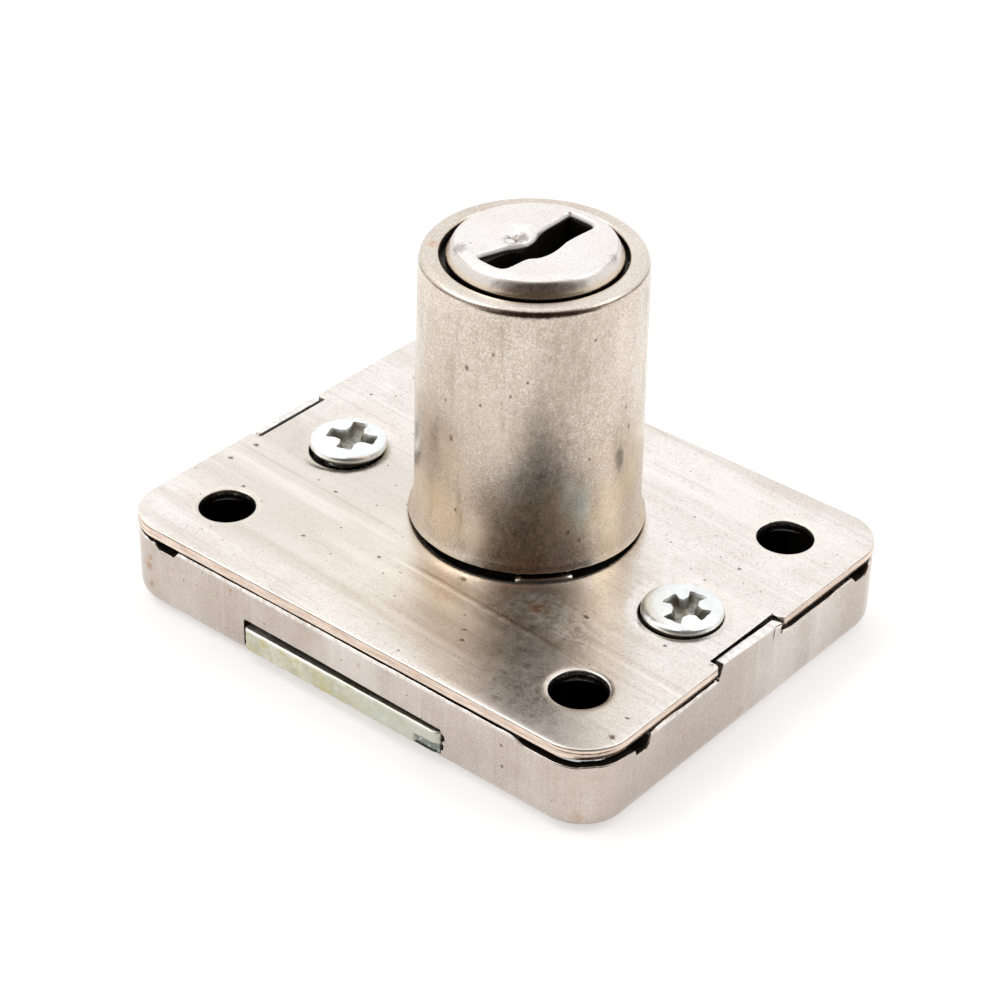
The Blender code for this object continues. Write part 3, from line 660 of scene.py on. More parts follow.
# ---- the bolt ------------------------------------------------------------------------------
BX, BY0, BY1, BZ0, BZ1 = B_HI[0], B_LO[1], B_HI[1], B_LO[2], B_HI[2]


def bolt_outline(b):
    hx = BX - b
    r = 0.55
    pts = [arc(hx - r, BY0 + b + r, r, 270, 360, 6), arc(hx - 0.4, BY1 - b - 0.4, 0.4, 0, 90, 4),
           arc(-hx + 0.4, BY1 - b - 0.4, 0.4, 90, 180, 4), arc(-hx + 0.32, BY0 + b + 0.32, 0.32, 180, 270, 5)]
    return respace(np.vstack(pts), 0.22)


yoke_c, yoke_r, yoke_x = AY + 4.0, 2.55, 3.45
yoke = np.vstack([arc(yoke_x, yoke_c, yoke_r, -90, 90, 14), arc(-yoke_x, yoke_c, yoke_r, 90, 270, 14)])


def bolt_path(w, p, nn, zt_, zb_):
    rows = []
    b = 0.16 if w == 0 else 0.1
    face = (nn[:, 1] < -0.5) if w == 0 else np.zeros(len(p), bool)
    x = p[:, 0]
    edge = 0.07 * field(np.c_[x, x * 0 + 3], 51, 0.9) + 0.05 * field(np.c_[x, x * 0 + 8], 52, 0.35)
    chip = smoothstep(x, 8.1, 8.5) * (1 - smoothstep(x, 10.7, 10.9)) * face  # a bruise at the right end's lower edge
    h = zt_ - zb_
    for a in (20, 45, 70):
        s = math.radians(a)
        rows.append(row(p, nn, b * math.sin(s) + edge * face * 0.4, zt_ - b * (1 - math.cos(s))))
    for k in range(1, 14):
        f = k / 14
        dent = np.array([noise.noise(Vector((float(q) / 0.8, f * 4.5, 6.2))) for q in x]) * 0.035
        dent += np.array([noise.noise(Vector((float(q) / 0.3, f * 9, 2.2))) for q in x]) * 0.015
        low = chip * smoothstep(f, 0.45 + 0.10 * math.sin(3.1), 0.75) * (0.25 + 0.12 * field(np.c_[x, x * 0 + f * 3], 53, 0.5))
        rows.append(row(p, nn, b + (dent + edge * 0.3) * face - low, zt_ - b - (h - 2 * b) * f))
    for a in (70, 45, 20):
        s = math.radians(a)
        rows.append(row(p, nn, b * math.sin(s) - chip * 0.3 + edge * face * 0.5, zb_ + b * (1 - math.cos(s))))
    return rows


bolt = shell_piece("bolt_skin", bolt_outline(0.16), [yoke], (0.12, 0.3), 0.9,
                   lambda p: BZ1 + 0.01 * field(p, 55, 2) - 0.015, lambda p: BZ0 + 0.0 * p[:, 0], bolt_path, angle=40)


# ---- materials ------------------------------------------------------------------------------
class Nodes:
    """A material's node tree, with the few moves used below."""

    def __init__(self, name):
        self.mat = bpy.data.materials.new(name)
        self.mat.use_nodes = True
        self.t = self.mat.node_tree
        self.t.nodes.clear()
        self.out = self.t.nodes.new("ShaderNodeOutputMaterial")
        self.bsdf = self.t.nodes.new("ShaderNodeBsdfPrincipled")
        self.t.links.new(self.bsdf.outputs[0], self.out.inputs["Surface"])
        self.co = self.new("ShaderNodeTexCoord").outputs["Object"]

    def new(self, kind, **props):
        n = self.t.nodes.new(kind)
        for k, v in props.items():
            setattr(n, k, v)
        return n

    def put(self, socket, value):
        if isinstance(value, bpy.types.NodeSocket):
            self.t.links.new(value, socket)
        elif isinstance(value, (tuple, list)) and socket.type == "RGBA" and len(value) == 3:
            socket.default_value = (*value, 1.0)
        else:
            socket.default_value = value

    def math(self, op, a, b=0.0, c=None, clamp=False):
        n = self.new("ShaderNodeMath", operation=op, use_clamp=clamp)
        self.put(n.inputs[0], a)
        self.put(n.inputs[1], b)
        if c is not None:
            self.put(n.inputs[2], c)
        return n.outputs[0]

    def mul(self, a, b):
        return self.math("MULTIPLY", a, b)

    def add(self, a, b):
        return self.math("ADD", a, b)

    def most(self, a, b):
        return self.math("MAXIMUM", a, b)

    def inv(self, a):
        return self.math("SUBTRACT", 1.0, a)

    def ramp(self, x, lo, hi, a=0.0, b=1.0, smooth=True):
        n = self.new("ShaderNodeMapRange", interpolation_type="SMOOTHSTEP" if smooth else "LINEAR", clamp=True)
        for i, v in enumerate((x, lo, hi, a, b)):
            self.put(n.inputs[i], v)
        return n.outputs[0]

    def mix(self, f, a, b, kind="MIX"):
        n = self.new("ShaderNodeMix", data_type="RGBA", blend_type=kind)
        self.put(n.inputs[0], f)
        self.put(n.inputs[6], a)
        self.put(n.inputs[7], b)
        return n.outputs[2]

    def at(self, scale=(1, 1, 1), turn=(0, 0, 0), move=(0, 0, 0), vec=None):
        n = self.new("ShaderNodeMapping")
        self.put(n.inputs["Vector"], vec or self.co)
        n.inputs["Scale"].default_value = scale
        n.inputs["Rotation"].default_value = turn
        n.inputs["Location"].default_value = move
        return n.outputs[0]

    def noise(self, mm, detail=3.0, rough=0.5, warp=0.0, vec=None, seed=0.0):
        """Noise whose blotches are about mm across."""
        n = self.new("ShaderNodeTexNoise", noise_dimensions="4D")
        self.put(n.inputs["Vector"], vec or self.co)
        n.inputs["W"].default_value = seed
        n.inputs["Scale"].default_value = 1000.0 / mm
        n.inputs["Detail"].default_value = detail
        n.inputs["Roughness"].default_value = rough
        n.inputs["Distortion"].default_value = warp
        return n.outputs["Fac"]

    def cells(self, mm, vec=None, rnd=1.0, out="Distance"):
        n = self.new("ShaderNodeTexVoronoi")
        self.put(n.inputs["Vector"], vec or self.co)
        n.inputs["Scale"].default_value = 1000.0 / mm
        n.inputs["Randomness"].default_value = rnd
        return n.outputs[out]

    def xyz(self, vec=None):
        n = self.new("ShaderNodeSeparateXYZ")
        self.put(n.inputs[0], vec or self.co)
        return n.outputs

    def near(self, at, r, soft=0.5, stretch=(1, 1, 1), wobble=None):
        """1 near a place in millimetres, fading to 0 at r."""
        n = self.new("ShaderNodeVectorMath", operation="SUBTRACT")
        self.put(n.inputs[0], self.co)
        n.inputs[1].default_value = [c * MM for c in at]
        s = self.new("ShaderNodeVectorMath", operation="MULTIPLY")
        self.put(s.inputs[0], n.outputs[0])
        s.inputs[1].default_value = [1000.0 / (r * q) for q in stretch]
        d = self.new("ShaderNodeVectorMath", operation="LENGTH")
        self.put(d.inputs[0], s.outputs[0])
        x = d.outputs["Value"]
        if wobble is not None:
            x = self.add(x, wobble)
        return self.ramp(x, 1.0, 1.0 - soft, 0.0, 1.0)

    def specks(self, mm, share, seed=0.0, vec=None, keep=None):
        """Sparse dots about mm * 0.35 across, in share of the cells."""
        v = self.new("ShaderNodeTexVoronoi")
        self.put(v.inputs["Vector"], vec or self.co)
        v.inputs["Scale"].default_value = 1000.0 / mm
        col = self.new("ShaderNodeSeparateColor")
        self.put(col.inputs[0], v.outputs["Color"])
        pick = self.ramp(col.outputs[0], share, share * 0.8, 0.0, 1.0)
        size = self.ramp(col.outputs[1], 0.0, 1.0, 0.05, 0.15)
        warped = self.add(v.outputs["Distance"], self.mul(self.math("SUBTRACT", self.noise(mm * 0.12, 2.0, seed=seed), 0.5), 0.16))
        dot = self.ramp(self.math("DIVIDE", warped, size), 1.0, 0.55, 0.0, 1.0)
        return self.mul(dot, pick)

    def finish(self, base, rough, metallic=1.0, height=None, depth=0.02, **constants):
        """height is in units of depth (millimetres)."""
        self.put(self.bsdf.inputs["Base Color"], base)
        self.put(self.bsdf.inputs["Roughness"], rough)
        self.put(self.bsdf.inputs["Metallic"], metallic)
        if height is not None:
            b = self.new("ShaderNodeBump")
            b.inputs["Strength"].default_value = 1.0
            b.inputs["Distance"].default_value = depth * MM
            self.put(b.inputs["Height"], height)
            self.put(self.bsdf.inputs["Normal"], b.outputs[0])
        for k, v in constants.items():
            self.bsdf.inputs[k.replace("_", " ")].default_value = v
        return self.mat


NICKEL_HI = (0.80, 0.745, 0.70)
NICKEL_LO = (0.66, 0.58, 0.50)
GRIME = (0.10, 0.075, 0.055)
RUST = (0.30, 0.11, 0.035)


def inset(m, z):
    """How far out a point lies, in metres, measured so that 4.3 mm is the rounded outline itself."""
    q = m.new("ShaderNodeCombineXYZ")
    m.put(q.inputs[0], m.most(m.math("SUBTRACT", m.math("ABSOLUTE", z[0]), (HX - 4.3) * MM), 0.0))
    m.put(q.inputs[1], m.most(m.math("SUBTRACT", m.math("ABSOLUTE", z[1]), (HY - 4.3) * MM), 0.0))
    d = m.new("ShaderNodeVectorMath", operation="LENGTH")
    m.put(d.inputs[0], q.outputs[0])
    return d.outputs["Value"]


def nickel_core(m, hi=NICKEL_HI, lo=NICKEL_LO, grain=0.33, blot=0.45, salt=1.0):
    """Worn bright nickel over steel: cloudy tint, fine grain, pits. Returns colour, roughness, height."""
    cloud = m.noise(6.0, 3.0, 0.55, 0.4)
    fine = m.noise(0.9, 3.0, 0.6, seed=3.0)
    g = m.noise(grain, 2.0, 0.65, seed=5.0)
    tint = m.add(m.mul(m.ramp(cloud, 0.34, 0.68), 1.0 - blot), m.mul(m.ramp(fine, 0.33, 0.67), blot))
    col = m.mix(tint, lo, hi)
    col = m.mix(m.ramp(g, 0.32, 0.52, 0.34 * salt, 0.0), col, (0.42, 0.35, 0.29))
    col = m.mix(m.ramp(m.noise(0.17, 1.0, 0.5, seed=9.0), 0.40, 0.66, 0.0, 0.30 * salt), col, (0.95, 0.91, 0.87))
    rough = m.ramp(m.add(m.mul(fine, 0.5), m.mul(g, 0.5)), 0.3, 0.7, 0.36, 0.24)
    height = m.add(m.mul(g, 0.5), m.mul(fine, 0.35))
    return col, rough, height


def plate_material():
    m = Nodes("plate_nickel")
    col, rough, height = nickel_core(m, (0.865, 0.84, 0.815), (0.745, 0.70, 0.66), 0.20, 0.22, 1.25)
    # rolled streaks, broad and fine, a few degrees off the plate's long side
    z = m.xyz()
    skew = m.new("ShaderNodeCombineXYZ")
    m.put(skew.inputs[0], z[0])
    across = m.add(z[1], m.mul(z[0], 0.055))
    m.put(skew.inputs[1], across)
    m.put(skew.inputs[2], z[2])
    skew = skew.outputs[0]
    broad = m.noise(2.6, 3.0, 0.6, vec=m.at((0.045, 1.0, 1.0), vec=skew), seed=1.0)
    thin = m.noise(0.42, 2.0, 0.6, vec=m.at((0.02, 1.0, 1.0), vec=skew), seed=2.0)

    def streak(y0, half, x0, x1, colour, amount, seed):
        nonlocal col
        d = m.math("ABSOLUTE", m.add(m.math("SUBTRACT", across, y0 * MM), m.mul(m.math("SUBTRACT", m.noise(9.0, 2.0, seed=seed), 0.5), half * 0.8 * MM)))
        f = m.mul(m.ramp(d, half * MM, half * 0.25 * MM), m.mul(m.ramp(z[0], (x0 - 4) * MM, x0 * MM), m.ramp(z[0], (x1 + 4) * MM, x1 * MM)))
        f = m.mul(f, m.ramp(m.noise(2.2, 3.0, vec=m.at((0.1, 1.0, 1.0), vec=skew), seed=seed + 3.0), 0.3, 0.5, 0.45, 1.0))
        col = m.mix(m.mul(f, amount), col, colour)

    fade = m.ramp(m.noise(14.0, 1.0, seed=8.0), 0.38, 0.6, 0.25, 1.0)
    col = m.mix(m.mul(m.ramp(broad, 0.52, 0.62), m.mul(fade, 0.60)), col, (0.88, 0.85, 0.80))
    col = m.mix(m.mul(m.ramp(broad, 0.48, 0.36), m.mul(fade, 0.34)), col, (0.54, 0.48, 0.42))
    col = m.mix(m.mul(m.ramp(thin, 0.56, 0.66), 0.40), col, (0.92, 0.89, 0.85))
    col = m.mix(m.mul(m.ramp(thin, 0.42, 0.32), 0.22), col, (0.46, 0.39, 0.33))
    leftish = m.near((-15.5, -7.0, TOP), 17.0, 0.8, (1.0, 0.9, 3))
    col = m.mix(m.mul(leftish, 0.62), col, (0.66, 0.60, 0.545))
    tarnish = m.near((5.0, -15.0, TOP), 11.0, 0.95, (1.5, 0.75, 3), m.mul(m.math("SUBTRACT", m.noise(3.5, 3.0, seed=5.9), 0.5), 0.9))
    col = m.mix(m.mul(tarnish, 0.22), col, (0.46, 0.37, 0.27))
    warm = m.near((1.0, -12.0, TOP), 15.0, 0.9, (1.4, 0.8, 3))
    col = m.mix(m.mul(warm, 0.30), col, (0.66, 0.55, 0.42))
    streak(-14.3, 1.2, 4.0, 11.0, (0.40, 0.32, 0.24), 0.22, 1.5)
    streak(-15.6, 0.7, 2.0, 9.0, (0.42, 0.34, 0.26), 0.38, 11.5)
    streak(-12.4, 0.9, -8.0, 8.0, (0.90, 0.85, 0.76), 0.35, 2.5)
    streak(-9.6, 0.75, -9.0, 12.0, (0.42, 0.34, 0.26), 0.35, 3.5)
    streak(-10.2, 0.28, 1.0, 13.0, (0.33, 0.23, 0.17), 0.72, 4.5)
    streak(-10.75, 0.20, -1.0, 18.0, (0.97, 0.92, 0.84), 0.60, 5.5)
    streak(-9.4, 1.1, -25.0, -3.0, (0.95, 0.91, 0.85), 0.50, 6.5)
    streak(-7.7, 0.3, -24.0, -8.0, (0.55, 0.48, 0.42), 0.45, 7.5)
    streak(-16.6, 0.8, -22.0, -2.0, (0.60, 0.53, 0.46), 0.35, 8.5)
    streak(-8.2, 0.35, 13.0, 25.0, (0.97, 0.93, 0.87), 0.5, 9.5)
    streak(-7.4, 0.25, 15.0, 25.0, (0.50, 0.43, 0.36), 0.35, 10.5)
    pits = m.most(m.most(m.specks(2.1, 0.35, 1.0), m.specks(0.9, 0.30, 4.0)), m.mul(m.specks(0.5, 0.35, 5.0), 0.6))
    col = m.mix(m.mul(pits, 0.8), col, (0.12, 0.09, 0.07))
    # heat-tinted grime with a painted dark reflection of the barrel on the ground in front of it, and a rust bloom
    grit = m.noise(0.5, 3.0, 0.7, seed=6.0)
    grime_and_reflection = m.near((10.8, -8.8, TOP), 7.0, 0.9, (1.3, 0.75, 3), m.mul(m.math("SUBTRACT", m.noise(2.5, 2.0, seed=9.0), 0.5), 0.9))
    col = m.mix(m.mul(m.mul(grime_and_reflection, m.ramp(grit, 0.42, 0.60)), 0.55), col, (0.25, 0.17, 0.115))
    rust = m.near((10.3, -7.9, TOP), 1.35, 0.9, (1, 1, 3), m.mul(m.math("SUBTRACT", m.noise(0.7, 3.0, seed=2.5), 0.5), 1.6))
    rust = m.most(rust, m.mul(m.near((3.0, -11.8, TOP), 1.5, 0.9, (1.2, 1, 3), m.mul(m.math("SUBTRACT", m.noise(0.6, 3.0, seed=3.5), 0.5), 1.8)), 0.3))
    col = m.mix(m.mul(m.mul(rust, m.ramp(grit, 0.36, 0.55, 0.25, 1.0)), 0.8), col, (0.46, 0.19, 0.075))
    grey = m.near((16.6, -17.2, TOP), 4.3, 0.9, (1.5, 0.9, 3), m.mul(m.math("SUBTRACT", m.noise(1.2, 3.0, seed=7.7), 0.5), 1.4))
    col = m.mix(m.mul(m.mul(grey, m.ramp(grit, 0.45, 0.58)), 0.48), col, (0.30, 0.255, 0.215))
    col = m.mix(m.mul(m.mul(grey, m.ramp(m.noise(0.3, 1.0, 0.5, seed=23.0), 0.56, 0.66)), 0.5), col, (0.90, 0.85, 0.79))
    marks = None
    for x, y, r in ((2.9, -9.0, 0.36), (13.9, -6.3, 0.3), (8.4, -15.4, 0.26), (7.6, -14.2, 0.2), (24.7, -14.6, 0.24), (25.3, -17.3, 0.34),
                    (-27.2 + 2.6, -8.6, 0.3), (-24.4, -5.6, 0.32), (-11.5, -13.2, 0.22), (-4.5, -11.2, 0.24), (-14.0, -6.4, 0.2), (17.5, -3.0, 0.2)):
        d = m.near((x, y, TOP), r, 0.7, (1.3, 1, 3), m.mul(m.math("SUBTRACT", m.noise(0.3, 2.0, seed=x), 0.5), 1.5))
        marks = d if marks is None else m.most(marks, d)
    col = m.mix(m.mul(marks, 0.85), col, (0.13, 0.07, 0.045))
    # burnished rings round the punched holes
    for x, y in HOLES4:
        q = m.new("ShaderNodeVectorMath", operation="DISTANCE")
        flat = m.new("ShaderNodeCombineXYZ")
        m.put(flat.inputs[0], z[0])
        m.put(flat.inputs[1], z[1])
        m.put(q.inputs[0], flat.outputs[0])
        q.inputs[1].default_value = (x * MM, y * MM, 0)
        ring = m.ramp(m.math("ABSOLUTE", m.math("SUBTRACT", q.outputs["Value"], 0.00288)), 0.00022, 0.0, 0, 1)
        col = m.mix(m.mul(ring, 0.45), col, (0.86, 0.77, 0.68))
    # the sheared edge is warmer and rougher than the face
    edge = m.ramp(z[2], (TOP - 0.10) * MM, (TOP - 0.22) * MM)
    out_by = inset(m, z)
    side = m.mul(m.mul(edge, m.ramp(out_by, 3.85 * MM, 4.05 * MM)), m.ramp(z[2], (PLATE_Z0 - 0.02) * MM, (PLATE_Z0 + 0.05) * MM))
    torn = m.noise(0.35, 3.0, 0.6, vec=m.at((0.12, 0.12, 1.0)), seed=6.6)
    col = m.mix(m.mul(side, 0.75), col, m.mix(m.ramp(torn, 0.35, 0.65), (0.62, 0.45, 0.34), (0.88, 0.72, 0.60)))
    ax_, ay_ = m.math("ABSOLUTE", z[0]), m.math("ABSOLUTE", z[1])
    notch = m.mul(m.mul(m.ramp(ax_, 24.7 * MM, 25.0 * MM), m.ramp(ay_, 4.75 * MM, 4.5 * MM)), edge)
    under = m.ramp(z[2], (PLATE_Z0 + 0.16) * MM, (PLATE_Z0 + 0.02) * MM)
    inner = m.mul(m.ramp(out_by, 3.3 * MM, 3.0 * MM), m.ramp(z[2], (TOP - 0.40) * MM, (TOP - 0.55) * MM))
    shade = m.most(m.most(notch, under), inner)
    col = m.mix(m.mul(shade, 0.9), col, (0.035, 0.025, 0.02))
    col = m.mix(m.mul(m.ramp(m.noise(0.18, 1.0, 0.5, seed=19.0), 0.54, 0.70), 0.22), col, (0.95, 0.90, 0.84))
    height = m.add(height, m.mul(broad, 0.8))
    height = m.add(height, m.mul(thin, 0.35))
    height = m.math("SUBTRACT", height, m.mul(m.most(pits, marks), 1.5))
    for at_z, wide, amount in ((TOP - 0.14, 0.06, 0.9), (TOP - 0.62, 0.04, 0.6)):
        groove = m.mul(m.ramp(m.math("ABSOLUTE", m.math("SUBTRACT", z[2], at_z * MM)), wide * MM, wide * 0.3 * MM), m.ramp(out_by, 3.85 * MM, 4.05 * MM))
        col = m.mix(m.mul(groove, m.ramp(m.noise(1.2, 2.0, seed=4.9 + amount), 0.3, 0.6, amount * 0.5, amount)), col, (0.20, 0.12, 0.08))
    height = m.add(height, m.mul(m.mul(side, torn), 2.0))
    rough = m.add(rough, m.mul(m.most(grime_and_reflection, side), 0.08))
    return m.finish(col, rough, 1.0, height, 0.012)


def case_material():
    m = Nodes("case_nickel")
    col, rough, height = nickel_core(m, (0.605, 0.535, 0.485), (0.49, 0.42, 0.37), 0.20, 0.15, 0.55)
    drawn = m.noise(0.6, 2.0, 0.6, vec=m.at((1.0, 1.0, 0.06)), seed=4.2)  # drawing marks up the walls
    col = m.mix(m.mul(m.ramp(drawn, 0.56, 0.72), 0.3), col, (0.76, 0.71, 0.67))
    col = m.mix(m.mul(m.ramp(drawn, 0.42, 0.28), 0.25), col, (0.42, 0.35, 0.30))
    bands = m.noise(7.0, 1.0, 0.5, vec=m.at((1.0, 1.0, 0.12)), seed=3.3)  # slow waves of shine along the walls
    col = m.mix(m.mul(m.ramp(bands, 0.51, 0.62), 0.42), col, (0.78, 0.73, 0.69))
    col = m.mix(m.mul(m.ramp(bands, 0.48, 0.37), 0.38), col, (0.44, 0.37, 0.32))
    pits = m.most(m.specks(1.7, 0.30, 2.0), m.specks(0.8, 0.16, 2.8))
    col = m.mix(m.mul(pits, 0.75), col, (0.14, 0.10, 0.085))
    rust = None
    for x, y, z_, r, s in ((-22.75, -20.85, 4.0, 0.8, 1.0), (-22.4, -20.9, 2.2, 0.5, 0.9), (-22.4, -20.9, 4.9, 0.5, 0.8), (-12.7, -20.95, 6.1, 0.28, 1.0), (-26.1, -17.6, 3.2, 0.6, 0.8), (-24.6, -20.3, 3.4, 0.5, 0.6), (-26.2, -15.9, 2.4, 0.7, 0.6),
                           (24.5, -20.0, 1.4, 1.0, 0.4), (26.25, -9.0, 3.8, 0.4, 0.5), (26.25, -1.0, 1.8, 0.6, 0.45), (2.0, -20.9, 5.6, 0.35, 0.6)):
        d = m.mul(m.near((x, y, z_), r, 0.9, (1, 1, 1), m.mul(m.math("SUBTRACT", m.noise(0.35, 3.0, seed=x), 0.5), 1.8)), s)
        rust = d if rust is None else m.most(rust, d)
    col = m.mix(m.mul(rust, 0.75), col, (0.42, 0.22, 0.11))
    z = m.xyz()
    # bare metal with a painted highlight along the sheared rim; painted shade inside
    tabs = m.mul(m.ramp(m.math("ABSOLUTE", z[0]), 24.0 * MM, 24.5 * MM), m.ramp(m.math("ABSOLUTE", z[1]), 4.25 * MM, 4.05 * MM))
    rim = m.mul(m.ramp(z[2], (RIM - 0.48) * MM, (RIM - 0.16) * MM), m.inv(tabs))
    col = m.mix(m.mul(rim, m.ramp(m.noise(0.5, 2.0, seed=1.9), 0.35, 0.6, 0.25, 0.75)), col, (0.93, 0.90, 0.87))
    lifted = m.add(z[2], m.ramp(z[1], -1 * MM, 4 * MM, 0.0, 0.10 * MM))
    crown = m.mul(m.ramp(lifted, (TOP - 0.22) * MM, (TOP - 0.15) * MM), tabs)
    col = m.mix(m.mul(crown, m.ramp(m.noise(0.6, 2.0, seed=2.9), 0.35, 0.6, 0.5, 0.9)), col, (0.95, 0.95, 0.94))
    out_by = inset(m, z)
    # painted shade: the inside of the case and the step of the front right corner's relief are painted near black
    inside_shade = m.mul(m.ramp(out_by, 3.62 * MM, 3.48 * MM), m.ramp(z[2], 0.3 * MM, 0.8 * MM))
    step = m.mul(m.ramp(out_by, 4.21 * MM, 4.15 * MM), m.mul(m.ramp(z[2], (RIM - 0.22) * MM, (RIM - 0.32) * MM), m.ramp(z[2], 4.9 * MM, 5.2 * MM)))
    inside_shade = m.most(inside_shade, step)
    col = m.mix(m.mul(inside_shade, 0.93), col, (0.03, 0.025, 0.02))
    tear = m.mul(m.near((HX + 0.4, 3.05, 7.45), 0.9, 0.6, (2.0, 0.16, 1.0)), 0.95)
    col = m.mix(tear, col, (0.12, 0.07, 0.04))
    height = m.math("SUBTRACT", m.add(height, m.mul(drawn, 0.5)), m.mul(m.most(m.most(pits, rust), tear), 1.2))
    rough = m.add(m.math("SUBTRACT", rough, 0.05), m.mul(inside_shade, 0.35))
    return m.finish(col, rough, 1.0, height, 0.012)


def sleeve_material():
    m = Nodes("sleeve_nickel")
    col, rough, height = nickel_core(m, (0.62, 0.54, 0.465), (0.495, 0.41, 0.335), 0.17, 0.14, 1.25)
    z = m.xyz()
    ang = m.math("ARCTAN2", m.math("SUBTRACT", z[1], AY * MM), m.math("SUBTRACT", z[0], AX * MM))
    wrap = m.new("ShaderNodeCombineXYZ")
    m.put(wrap.inputs[0], m.mul(ang, 9.7 * MM))
    m.put(wrap.inputs[1], z[2])
    w = wrap.outputs[0]
    runs = m.noise(1.6, 4.0, 0.6, vec=m.at((1.0, 0.22, 1.0), vec=w), seed=1.1)  # upright runs in the plating
    fine = m.noise(0.45, 3.0, 0.6, vec=m.at((1.0, 0.35, 1.0), vec=w), seed=2.1)
    body = m.mul(m.ramp(z[2], (S_HI[2] - 0.5) * MM, (S_HI[2] - 1.5) * MM), m.ramp(z[2], 8.3 * MM, 9.0 * MM, 0.6, 1.0))
    low = m.ramp(z[2], 27.0 * MM, 11.0 * MM)
    col = m.mix(m.mul(m.mul(m.ramp(runs, 0.47, 0.33), body), m.add(0.40, m.mul(low, 0.30))), col, (0.34, 0.275, 0.215))
    col = m.mix(m.mul(m.mul(m.ramp(runs, 0.55, 0.70), body), 0.22), col, (0.86, 0.80, 0.74))
    col = m.mix(m.mul(m.mul(m.ramp(fine, 0.46, 0.32), body), 0.35), col, (0.36, 0.30, 0.25))
    # straw-coloured heat tint on the lower half, patchy
    straw = m.mul(low, m.ramp(m.noise(5.0, 2.0, seed=6.0), 0.42, 0.62))
    col = m.mix(m.mul(straw, 0.45), col, (0.80, 0.66, 0.42))

    def patch(theta, zc, rt, rz, colour, amount, seed, rag=1.0):
        nonlocal col
        a = math.radians(theta)
        n1 = m.new("ShaderNodeVectorMath", operation="SUBTRACT")
        m.put(n1.inputs[0], w)
        n1.inputs[1].default_value = (a * 9.7 * MM, zc * MM, 0)
        s1 = m.new("ShaderNodeVectorMath", operation="MULTIPLY")
        m.put(s1.inputs[0], n1.outputs[0])
        s1.inputs[1].default_value = (1000 / rt, 1000 / rz, 1)
        d1 = m.new("ShaderNodeVectorMath", operation="LENGTH")
        m.put(d1.inputs[0], s1.outputs[0])
        f = m.ramp(m.add(d1.outputs["Value"], m.mul(m.math("SUBTRACT", m.noise(0.8, 3.0, vec=w, seed=seed), 0.5), rag)), 1.0, 0.15, 0.0, amount)
        if rt > 1.2 and colour[0] < 0.45:  # dark patches, the painted dark reflection among them, break up into grain
            f = m.mul(f, m.ramp(m.noise(0.26, 3.0, 0.7, vec=m.at((1.0, 0.55, 1.0), vec=w), seed=seed + 7.0), 0.36, 0.58, 0.55, 1.2))
        col = m.mix(f, col, colour)
        return f

    # painted dark reflection of the dark room behind the photographer: a smear that widens to the foot, made of the
    # dark patches from -54 to -35 degrees, with rust-brown at the bottom; the patches further round are tone
    patch(-50, 9.0, 3.9, 11.0, (0.15, 0.10, 0.07), 0.55, 1.0, 0.7)
    patch(-50, 15.5, 2.5, 9.0, (0.14, 0.11, 0.095), 0.38, 2.0, 0.9)
    patch(-46, 22.0, 1.5, 7.0, (0.30, 0.26, 0.23), 0.45, 3.0, 1.0)
    patch(-80, 22.5, 4.6, 8.5, (0.48, 0.41, 0.345), 0.40, 3.1, 1.2)
    patch(-112, 20.0, 3.0, 9.0, (0.44, 0.36, 0.29), 0.45, 3.2, 1.2)
    patch(-35, 27.0, 3.4, 9.5, (0.36, 0.29, 0.235), 0.55, 3.3, 1.2)
    patch(-54, 22.0, 2.6, 5.0, (0.36, 0.30, 0.25), 0.38, 3.35, 1.3)
    patch(-16, 29.0, 2.4, 5.5, (0.42, 0.34, 0.28), 0.35, 3.37, 1.3)
    patch(-93, 19.5, 2.2, 4.5, (0.38, 0.31, 0.24), 0.38, 3.39, 1.3)
    # painted highlight, lightening the smear's left edge
    patch(-75, 11.0, 1.8, 4.5, (1.0, 0.90, 0.76), 0.75, 3.4, 0.8)
    # painted dark reflection across the front of the lip
    patch(-49, S_HI[2] - 0.36, 6.6, 0.42, (0.11, 0.06, 0.045), 0.97, 3.5, 0.5)
    patch(-38, 19.5, 2.3, 6.0, (0.26, 0.205, 0.17), 0.58, 3.6, 1.0)
    patch(-104, 16.5, 3.4, 6.0, (0.40, 0.33, 0.25), 0.55, 4.4, 1.2)
    patch(-105, 17.0, 1.4, 4.5, (0.34, 0.29, 0.24), 0.5, 4.0, 1.6)
    patch(-52, 9.3, 4.5, 1.6, (0.34, 0.17, 0.10), 0.55, 4.8, 1.5)
    patch(-0.5, 17.8, 0.75, 1.9, (0.20, 0.17, 0.16), 0.65, 5.0, 1.2)
